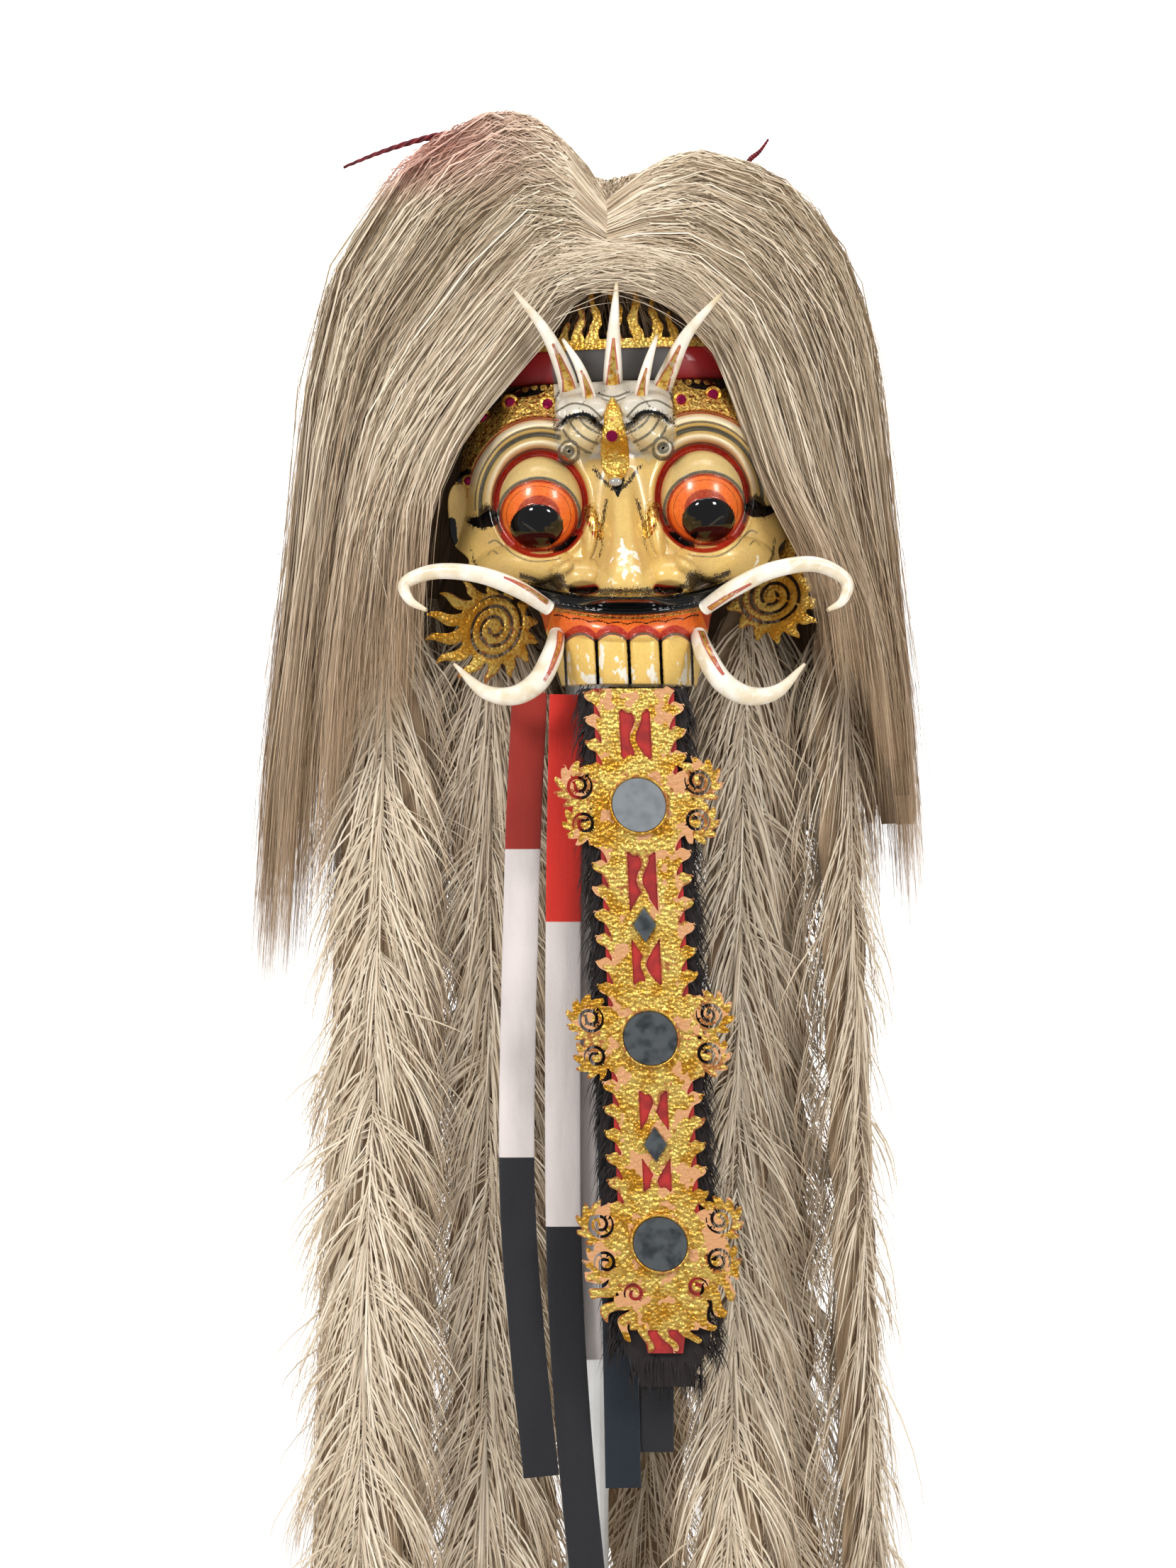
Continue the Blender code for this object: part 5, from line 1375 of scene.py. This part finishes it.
def tongue_shape(x, y):
    """The gilding's cut: a flaming spine, rings round the mirrors, scrolls, windows and the rays below."""
    a = np.abs(x)
    shape = np.minimum(29 - a, 540 - y)
    pitch = 20.5
    beyond = np.clip((a - 28) / 17, 0, 1)
    phase = ((y + 17 * beyond + 3.0 * np.sin(beyond * 6)) / pitch + 0.25 * np.sign(x)) % 1.0
    flame = (0.42 * (1 - beyond) ** 0.8 - np.abs(phase - 0.5)) * pitch
    shape = np.maximum(shape, np.minimum(np.minimum(flame, 45 - a), 500 - y))
    cuts = []
    for k, share in enumerate(MIRROR_PLACES):
        middle = share * TONGUE_LENGTH
        shape = np.maximum(shape, 40 - np.hypot(x, (y - middle) * 0.97))
        places = [(-1, 50, -16, 15, 0.4), (-1, 47, 16, 13, 2.0), (1, 51, -20, 15, 1.2), (1, 48, 14, 14, 2.6)]
        if k == 2:
            places += [(-1, 24, 42, 12, 0.5), (1, 30, 37, 12, 1.5)]
        for hand, across, down, radius, tilt in places:
            body, cut = scroll(x, y, hand * across, middle + down, radius, hand, tilt)
            shape = np.maximum(shape, body)
            cuts.append(cut)
    last = MIRROR_PLACES[2] * TONGUE_LENGTH
    r, th = np.hypot(x, y - last), np.arctan2(y - last, x)
    beyond = np.clip((r - 52) / 42, 0, 1)
    phase = (th / 0.235 + 0.25 * np.sin(beyond * 9)) % 1.0
    long = 96 - 22 * np.abs(th - np.pi / 2)
    ray = np.minimum((0.42 * (1 - beyond) ** 0.6 - np.abs(phase - 0.5)) * 0.235 * r, long - r)
    shape = np.maximum(shape, np.where(y > last + 16, ray, -9))
    shape = np.maximum(shape, np.where(y > last, 50 - r, -9))
    for top, foot, half in WINDOWS:
        wave = 2.6 * np.sin((y - top) / 5.2)
        strip = 2.4 + 3.5 * np.clip(1 - np.minimum(y - top, foot - y) / 14, 0, 1) ** 2
        teeth = 4 * np.abs(np.sin(x / 3.4))
        window = np.minimum(half - a, np.minimum(y - top - teeth, foot - y - teeth))
        cuts.append(np.minimum(window, np.abs(x - wave) - strip))
    for cut in cuts:
        shape = np.minimum(shape, -cut)
    for share in DIAMOND_PLACES:
        frame_edge = 1 - (a / 19 + np.abs(y - share * TONGUE_LENGTH) / 30)
        shape = np.maximum(shape, frame_edge * 13)
    return shape


def tongue_relief(x, y):
    """Beads down the spine's edges, and rings of beads round the mirrors and diamonds."""
    a = np.abs(x)
    beads = 0.9 * hump(a, 24.5, 1.9) * np.abs(np.cos(y * np.pi / 5.6))
    beads = beads + 0.9 * hump(a, 16.5, 1.6) * np.abs(np.cos(y * np.pi / 6.4))
    round_beads = 0 * a
    near = np.full(np.shape(x), 1e9)
    for share in MIRROR_PLACES:
        r, th = np.hypot(x, y - share * TONGUE_LENGTH), np.arctan2(y - share * TONGUE_LENGTH, x)
        near = np.minimum(near, r)
        for radius, number in ((27.5, 24), (32.5, 29), (37.5, 34)):
            round_beads = round_beads + 1.1 * hump(r, radius, 1.7) * np.abs(np.cos(th * number / 2))
        round_beads = round_beads + 1.5 * hump(r, 23.6, 1.1)
    for share in DIAMOND_PLACES:
        edge = a / 12.5 + np.abs(y - share * TONGUE_LENGTH) / 18
        round_beads = round_beads + 1.3 * hump(edge, 1.0, 0.13)
        near = np.where(edge < 1.6, 0, near)
    return np.where(near > 41, beads, round_beads)


def make_slab(name, finish, depths, half_width, rows, foot, node):
    """A flat piece behind the gilding, from its back to its front, down to a share of the tongue's length."""
    columns, (low, high) = 9, depths
    down = np.linspace(0, foot * TONGUE_LENGTH, rows)
    x = np.linspace(-1, 1, columns)[None, :] * half_width(down)[:, None]
    y = np.repeat(down[:, None], columns, 1)
    points = np.concatenate([on_tongue(x, y, out).reshape(-1, 3) for out in (high, low)])
    piece = add_mesh(name, points, shell_faces(rows, columns), finish)
    piece.data.set_sharp_from_angle(angle=math.radians(40))
    settle(piece, node)


def leather_half(down):
    return 0.5 * TONGUE_WIDTH * (1 - 0.55 * ease(0.86, 0.97, down / TONGUE_LENGTH)) - 1


def fur_half(down):
    return 44 + 3 * np.sin(down / 9.5) - 20 * ease(0.88, 1.04, down / TONGUE_LENGTH)


def make_mirrors(glass, rust):
    """Round mirrors with thin rims, and the cut diamonds between them."""
    for k, share in enumerate(MIRROR_PLACES):
        middle = share * TONGUE_LENGTH
        bm = bmesh.new()
        bmesh.ops.create_cone(
            bm, cap_ends=True, segments=56, radius1=MIRROR_RADIUS, radius2=MIRROR_RADIUS - 0.6, depth=3
        )
        mirror = set_in(
            f"mirror_glass_{k + 1}", bm, lambda x, y, z: on_tongue(x, middle + y, GLASS_OUT + 0.6 * z), glass
        )
        settle(mirror, f"mirror_{k + 1}")
        a = np.linspace(0, 2 * np.pi, 57)
        ring = on_tongue(RIM_RADIUS * np.cos(a), middle + RIM_RADIUS * np.sin(a), GLASS_OUT + 0.6)
        points, faces = tube(ring, np.full(len(a), 1.3 * MM), 8)
        settle(add_mesh(f"mirror_rim_{k + 1}", points, faces, rust))
    for k, share in enumerate(DIAMOND_PLACES):
        middle = share * TONGUE_LENGTH
        bm = bmesh.new()
        bmesh.ops.create_cone(bm, cap_ends=True, segments=4, radius1=1, radius2=0.95, depth=3)
        diamond = set_in(
            f"diamond_glass_{k + 1}",
            bm,
            lambda x, y, z: on_tongue(10 * x, middle + 15 * y, GLASS_OUT + 0.6 * z),
            glass,
        )
        settle(diamond, f"diamond_{k + 1}")


def make_fur_hairs(fur):
    """Short dark hairs that stick out round the tongue's edge and hang from its tip."""
    count, steps = FUR_HAIRS, 5
    down = dice.random(count) * 590 - 4
    side = either_side(count)
    edge = dice.random(count) ** 0.6
    at_tip = down > 560
    x = np.where(at_tip, dice.uniform(-32, 32, count), side * (20 + 25 * edge))
    t = np.linspace(0, 1, steps)[None, :]
    length = between(10, 26, count)
    sideways = side[:, None] * np.where(at_tip, 0.2, 1.0)[:, None] * between(0.2, 1.15, count)
    out = length * (0.75 * t - 0.2 * t**2) * sideways
    drop = length * (0.35 * t + 0.75 * t**2)
    depth = -between(3.0, 15, count) + 3.5 * np.sin(np.pi * 0.7 * t) * dice.random(count)[:, None]
    paths = on_tongue(x[:, None] + out, down[:, None] + drop, depth)
    widths = np.broadcast_to(between(0.8, 1.8, count) * MM * (1.02 - t), (count, steps))
    facing = unit(np.array((0, -1.0, 0)) + dice.normal(0, 0.4, (count, 1, 3)))
    settle(ribbons("fur_hairs", paths, widths, facing, fur, dice.random(count)))


def make_tongue(leather, fur, gold, glass, rust):
    make_slab("tongue_leather", leather, (-3.5, 0.0), leather_half, 40, 0.97, "tongue")
    make_slab("fur_pad", fur, (-15, -4.5), fur_half, 50, 1.02, "tongue_fur")

    def place(x, y, out):
        return on_tongue(x, y, out + GILT_OUT)

    low, high = (-80, 0), (80, TONGUE_LENGTH)
    gilt = pierced("cut_gilding", tongue_shape, low, high, 1.5, place, GILT_THICKNESS, tongue_relief, gold)
    settle(gilt, "tongue_gilding")
    make_mirrors(glass, rust)
    make_fur_hairs(fur)


# The cloth strips, each sewn into a flat tube: its line from the top, and its colours down to each height.
STRIP_WIDTH = 30.4 * MM
STRIP_FLAT = 7 / 31
RED_CLOTH, BRIGHT_CLOTH, WHITE_CLOTH = rgb(146, 34, 20), rgb(200, 38, 24), rgb(208, 198, 194)
BLACK_CLOTH, BLUE_CLOTH = rgb(30, 30, 34), rgb(22, 32, 42)
STRIPS = (
    (
        "strip_a",
        ((-49, -131, -129), (-55, -133, -271), (-60, -134, -526), (-52, -133, -671), (-39, -132, -799)),
        ((RED_CLOTH, 908), (WHITE_CLOTH, 645), (BLACK_CLOTH, 0)),
    ),
    (
        "strip_b",
        ((-17, -132, -131), (-20, -134, -321), (-20, -134, -585), (-12, -133, -751), (3, -132, -909)),
        ((BRIGHT_CLOTH, 846), (WHITE_CLOTH, 586), (BLACK_CLOTH, 0)),
    ),
    (
        "strip_c",
        ((16, -141, -131), (20, -143, -371), (27, -143, -611), (31, -142, -807)),
        ((BLUE_CLOTH, 0),),
    ),
    (
        "strip_d",
        ((52, -138, -131), (54, -140, -371), (58, -140, -611), (59, -139, -777)),
        ((BLACK_CLOTH, 0),),
    ),
    (
        "strip_e",
        ((-8, -119, -131), (-8, -120, -321), (-6, -120, -531), (-2, -119, -701)),
        ((WHITE_CLOTH, 0),),
    ),
)


def strip_cloth(name, bands):
    """Rough cloth whose colour changes at each seam, shaded in soft folds."""
    cloth = Finish(name + " cloth", roughness=0.9, sheen_weight=0.25)
    colour = bands[0][0]
    for (_, seam), (below, _) in zip(bands, bands[1:]):
        under_seam = cloth.step(cloth.along(2), (seam - 0.4) * MM, (seam + 0.4) * MM, 1.0, 0.0)
        colour = cloth.mix(under_seam, colour, below)
    shade = cloth.step(cloth.noise(24, 3.0, stretch=(1, 1, 0.25)), 0.3, 0.7, 0.82, 1.08)
    tinted = cloth.add("ShaderNodeVectorMath", 0, {0: colour, 1: (1, 1, 1)}, operation="MULTIPLY")
    tinted = cloth.add("ShaderNodeVectorMath", 0, {0: tinted, "Scale": shade}, operation="SCALE")
    weave = cloth.noise(1500, 1.0, stretch=(1, 1, 0.5))
    cloth.set(base_color=tinted)
    cloth.bump(cloth.sum(cloth.times(weave, 0.4), cloth.noise(55, 3.0, stretch=(1.6, 1, 0.3))), 0.35, 0.003)
    return cloth.material


def make_strips():
    """Each strip is one thin cloth, wrapped round its line and lapped at the back."""
    for name, line, bands in STRIPS:
        steps, sides = 110, 34
        points = bend(np.array(line) * MM + (0, 0, NOSE_HEIGHT), steps)
        turns = np.linspace(0.5 * np.pi, 2.56 * np.pi, sides)[None, :]
        shares = np.linspace(0, 1, steps)[:, None]
        folds = 1 + 0.06 * np.sin(3 * turns + 9 * shares + line[0][0]) * np.abs(np.sin(turns))
        folds = folds + 0.02 * ease(2.4 * np.pi, 2.5 * np.pi, turns)
        pressed = 1 - 0.75 * ease(0.97, 1.0, shares)
        flat = STRIP_FLAT * (0.8 + 0.2 * np.sin(2 * turns + 14 * shares)) * pressed
        rings = swept(points, STRIP_WIDTH / 2 * folds, turns, flat)
        faces = cells(np.arange(steps * sides).reshape(steps, sides))[:, ::-1]
        cloth = strip_cloth(name, bands)
        strip = add_mesh(name + "_cloth", rings.reshape(-1, 3), [faces], cloth, closed=False)
        length = float(np.linalg.norm(np.diff(points, axis=0), axis=1).sum())
        settle(strip, name)


THONGS = (
    ("thong_left", ((-100, -30, 366), (-140, -34, 359), (-180, -38, 346), (-213, -42, 332))),
    ("thong_right", ((138, -15, 331), (143, -15, 342), (152, -13, 350), (160, -11, 361))),
)


def make_thongs(finish):
    """Three leather cords twisted round each line, thinner towards its end."""
    steps, cords = 60, 3
    fade = 1 - 0.6 * np.linspace(0, 1, steps)
    for name, line in THONGS:
        middle = bend(np.array(line) * MM + (0, 0, NOSE_HEIGHT), steps)
        pieces = []
        for cord in range(cords):
            turn = np.linspace(0, 9 * np.pi, steps) + cord * 2 * np.pi / cords
            offset = np.stack((0 * turn, np.cos(turn), np.sin(turn)), -1) * (2.2 * MM * fade)[:, None]
            pieces.append(tube(middle + offset, 1.7 * MM * fade, 7))
        settle(join(name + "_braid", pieces, finish), name)


# The plaque on the forehead: its middle, foot and top on the face, and its half width on the way up
JEWEL_U = -4.0
JEWEL_FOOT = 51.0
JEWEL_TOP = 121.0
JEWEL_HALF_KEYS = ((0, 4.5), (0.12, 10.5), (0.3, 12), (0.65, 9), (0.9, 5), (1, 1.5))


def make_jewel(gold, ruby, clear):
    """A beaten plaque that follows the carving smoothly, with a ruby and a clear stone."""
    rows, columns = 60, 17
    up = np.linspace(JEWEL_FOOT, JEWEL_TOP, rows)
    half = through(JEWEL_HALF_KEYS, (up - JEWEL_FOOT) / (JEWEL_TOP - JEWEL_FOOT))
    s = np.linspace(-1, 1, columns)[None, :]
    u = JEWEL_U + s * half[:, None]
    v = np.repeat(up[:, None], columns, 1)
    ground = np.maximum(face_depth(JEWEL_U + 0 * up, up), face_depth(JEWEL_U + half, up)) - 2
    ground = np.convolve(np.pad(ground, 9, mode="edge"), np.ones(19) / 19, "valid")[:, None] + 1.0
    raised = 8 * (1 - 0.45 * s * s) + 0.8 * np.abs(np.sin(v / 2.1) * np.sin(4.2 * s)) * (np.abs(s) < 0.8)
    points = [on_face(u, v, d).reshape(-1, 3) for d in (ground + raised, ground - 4 + 0 * s)]
    jewel = add_mesh("forehead_gilding", np.concatenate(points), shell_faces(rows, columns), gold)
    settle(jewel, "forehead_jewel")
    for name, u, v, wide, high, out, finish in (
        ("ruby", -6.0, 87, 5.2, 5.2, 10, ruby),
        ("clear", -4.5, 49, 5.6, 3.92, 5, clear),
    ):
        d = float(face_depth(JEWEL_U, v)) + out

        def place(x, y, z):
            return on_face(u + x * wide, v + y * high, d + z * 3.2)

        bm = bmesh.new()
        bmesh.ops.create_uvsphere(bm, u_segments=10, v_segments=6, radius=1.0)
        settle(set_in("forehead_" + name, bm, place, finish, smooth=name == "clear"))


# The rest of the finishes

def crown_cloth():
    """Crimson cloth with a dark stretch in its middle."""
    made = Finish("crown cloth", roughness=0.5, coat_weight=0.2)
    turn = made.value("turn")
    middle = made.times(made.step(turn, -21, -19), made.step(turn, 17, 19, 1.0, 0.0))
    red = made.mix(made.noise(60, 3.0), rgb(150, 20, 24), rgb(120, 12, 16))
    made.set(base_color=made.mix(middle, red, rgb(74, 70, 68)))
    return made.material


def mirror_glass():
    """Old mirror glass with dull spots, duller in the lowest mirror."""
    made = Finish("mirror glass", metallic=0.75, roughness=0.26)
    spots = made.step(made.noise(90, 5.0), 0.4, 0.7)
    dull = made.sum(made.times(spots, 0.25), made.step(made.along(2), 0.84, 0.9, 0.75, 0.0))
    made.set(base_color=made.mix(dull, rgb(192, 199, 204), rgb(76, 82, 86)))
    return made.material


def rattan():
    made = Finish("rattan", roughness=0.7)
    weave = made.add("ShaderNodeTexWave", "Fac", {"Vector": made.place, "Scale": 42.0}, bands_direction="Z")
    made.set(base_color=made.mix(weave, rgb(104, 76, 46), rgb(168, 132, 88)))
    made.bump(weave, 0.6, 0.002)
    return made.material


def dress_frame_nodes():
    """The cap and the stand stay as the solids are, and take a finish each."""
    paint = plain("stand paint", rgb(238, 238, 236), rgb(228, 228, 226), 30, 0.45)
    felt = plain("felt rest", rgb(222, 220, 214), rgb(206, 204, 198), 60, 0.8)
    finishes = {"cap": rattan(), "stand_base": paint, "stand_post": paint, "stand_rest": felt}
    for node, finish in finishes.items():
        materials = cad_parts[node].data.materials
        materials.clear()
        materials.append(finish)


# The stage, in metres
FLOOR_FRONT = -6.0
FLOOR_BACK = 5.5
FLOOR_HALF_WIDTH = 7.0
FLOOR_DROP = 0.0005
CURVE_RADIUS = 1.2
BACKDROP_TOP = 9.0
CAMERA_PLACE = (0.0009, -3.852, 0.9636)
LENS = 100


def make_floor():
    """A pale floor that curves up into the backdrop."""
    arc = [
        (FLOOR_BACK + CURVE_RADIUS * math.sin(a), CURVE_RADIUS * (1 - math.cos(a)))
        for a in np.linspace(0.2, math.pi / 2, 12)
    ]
    profile = [(FLOOR_FRONT, 0.0), (FLOOR_BACK, 0.0), *arc, (FLOOR_BACK + CURVE_RADIUS, BACKDROP_TOP)]
    bm = bmesh.new()
    edge = [bm.verts.new((-FLOOR_HALF_WIDTH, y, z - FLOOR_DROP)) for y, z in profile]
    lines = [bm.edges.new(pair) for pair in zip(edge, edge[1:])]
    swung = bmesh.ops.extrude_edge_only(bm, edges=lines)["geom"]
    far_edge = [part for part in swung if isinstance(part, bmesh.types.BMVert)]
    bmesh.ops.translate(bm, verts=far_edge, vec=(2 * FLOOR_HALF_WIDTH, 0, 0))
    paper = Finish("studio paper", roughness=0.9, base_color=rgb(246, 246, 246)).material
    floor = from_bmesh("floor", bm, paper)
    floor.visible_glossy = False


def make_sky():
    """Even white light, dimmer where the glossy pieces mirror it."""
    world = bpy.data.worlds.new("studio")
    bpy.context.scene.world = world
    world.use_nodes = True
    nodes, links = world.node_tree.nodes, world.node_tree.links
    rays = nodes.new("ShaderNodeLightPath")
    dim = nodes.new("ShaderNodeMapRange")
    links.new(rays.outputs["Is Glossy Ray"], dim.inputs["Value"])
    dim.inputs["To Min"].default_value = 0.68
    dim.inputs["To Max"].default_value = 0.24
    nodes["Background"].inputs[0].default_value = (1, 1, 1, 1)
    links.new(dim.outputs[0], nodes["Background"].inputs[1])


def add_lamp(name, place, size, power, aim=(0, 0, 1.0), mirrored=True):
    data = bpy.data.lights.new(name, "AREA")
    data.shape = "RECTANGLE"
    data.size, data.size_y = size
    data.energy = power
    lamp = bpy.data.objects.new(name, data)
    lamp.location = place
    lamp.rotation_euler = (Vector(aim) - Vector(place)).to_track_quat("-Z", "Y").to_euler()
    lamp.visible_glossy = mirrored
    bpy.context.scene.collection.objects.link(lamp)


def make_camera():
    data = bpy.data.cameras.new("camera")
    data.lens = LENS
    camera = bpy.data.objects.new("camera", data)
    camera.location = CAMERA_PLACE
    camera.rotation_euler = (math.pi / 2, 0, 0)
    bpy.context.scene.collection.objects.link(camera)
    bpy.context.scene.camera = camera


def make_stage():
    make_floor()
    make_sky()
    add_lamp("key", (-2.0, -2.7, 2.7), (0.7, 0.9), 66)
    add_lamp("fill", (2.2, -2.5, 2.4), (0.7, 0.9), 44)
    add_lamp("top", (0, 0.4, 3.2), (1.6, 1.6), 34)
    add_lamp("paper", (0, 4.4, 3.6), (4.0, 1.4), 170, aim=(0, 6.5, 1.0), mirrored=False)
    make_camera()
    bpy.context.scene.view_settings.view_transform = "Standard"


def main():
    gold = gilding("gilding", 0.6, relief=0.65)
    scrolled = gilding("scrolled gilding", 0.56)
    worn_gold = gilding("worn gilding", 0.57, leather=0.42)
    rims = gilding("mirror rims", 0.5, relief=0.5)
    hair = hair_finish("hair", HAIR_COLOURS, rgb(176, 136, 92))
    under = hair_finish("shaded under hair", SHADED_UNDER_HAIR_COLOURS, rgb(130, 100, 68))
    fur = Finish("dark fur", roughness=0.6, base_color=rgb(34, 25, 23)).material
    leather = plain("red leather", rgb(176, 30, 24), rgb(140, 20, 18), 60, 0.55)
    thong = plain("thong leather", rgb(120, 22, 34), rgb(84, 16, 26), 120, 0.6)
    ruby = Finish("ruby stone", base_color=rgb(160, 26, 78), roughness=0.1, metallic=0.75).material
    clear = Finish("clear stone", base_color=rgb(196, 192, 184), roughness=0.05, metallic=0.5).material

    make_face()
    make_horns_and_tusks(ivory_finish())
    make_jewel(scrolled, ruby, clear)
    make_brow_stones(ruby, gold)
    make_crown(crown_cloth(), gold)
    make_ears(gold)
    make_tongue(leather, fur, worn_gold, mirror_glass(), rims)
    make_strips()
    make_hair(hair, under)
    make_wisps(hair, under)
    make_plumes(hair, under)
    make_thongs(thong)
    dress_frame_nodes()
    make_stage()


main()
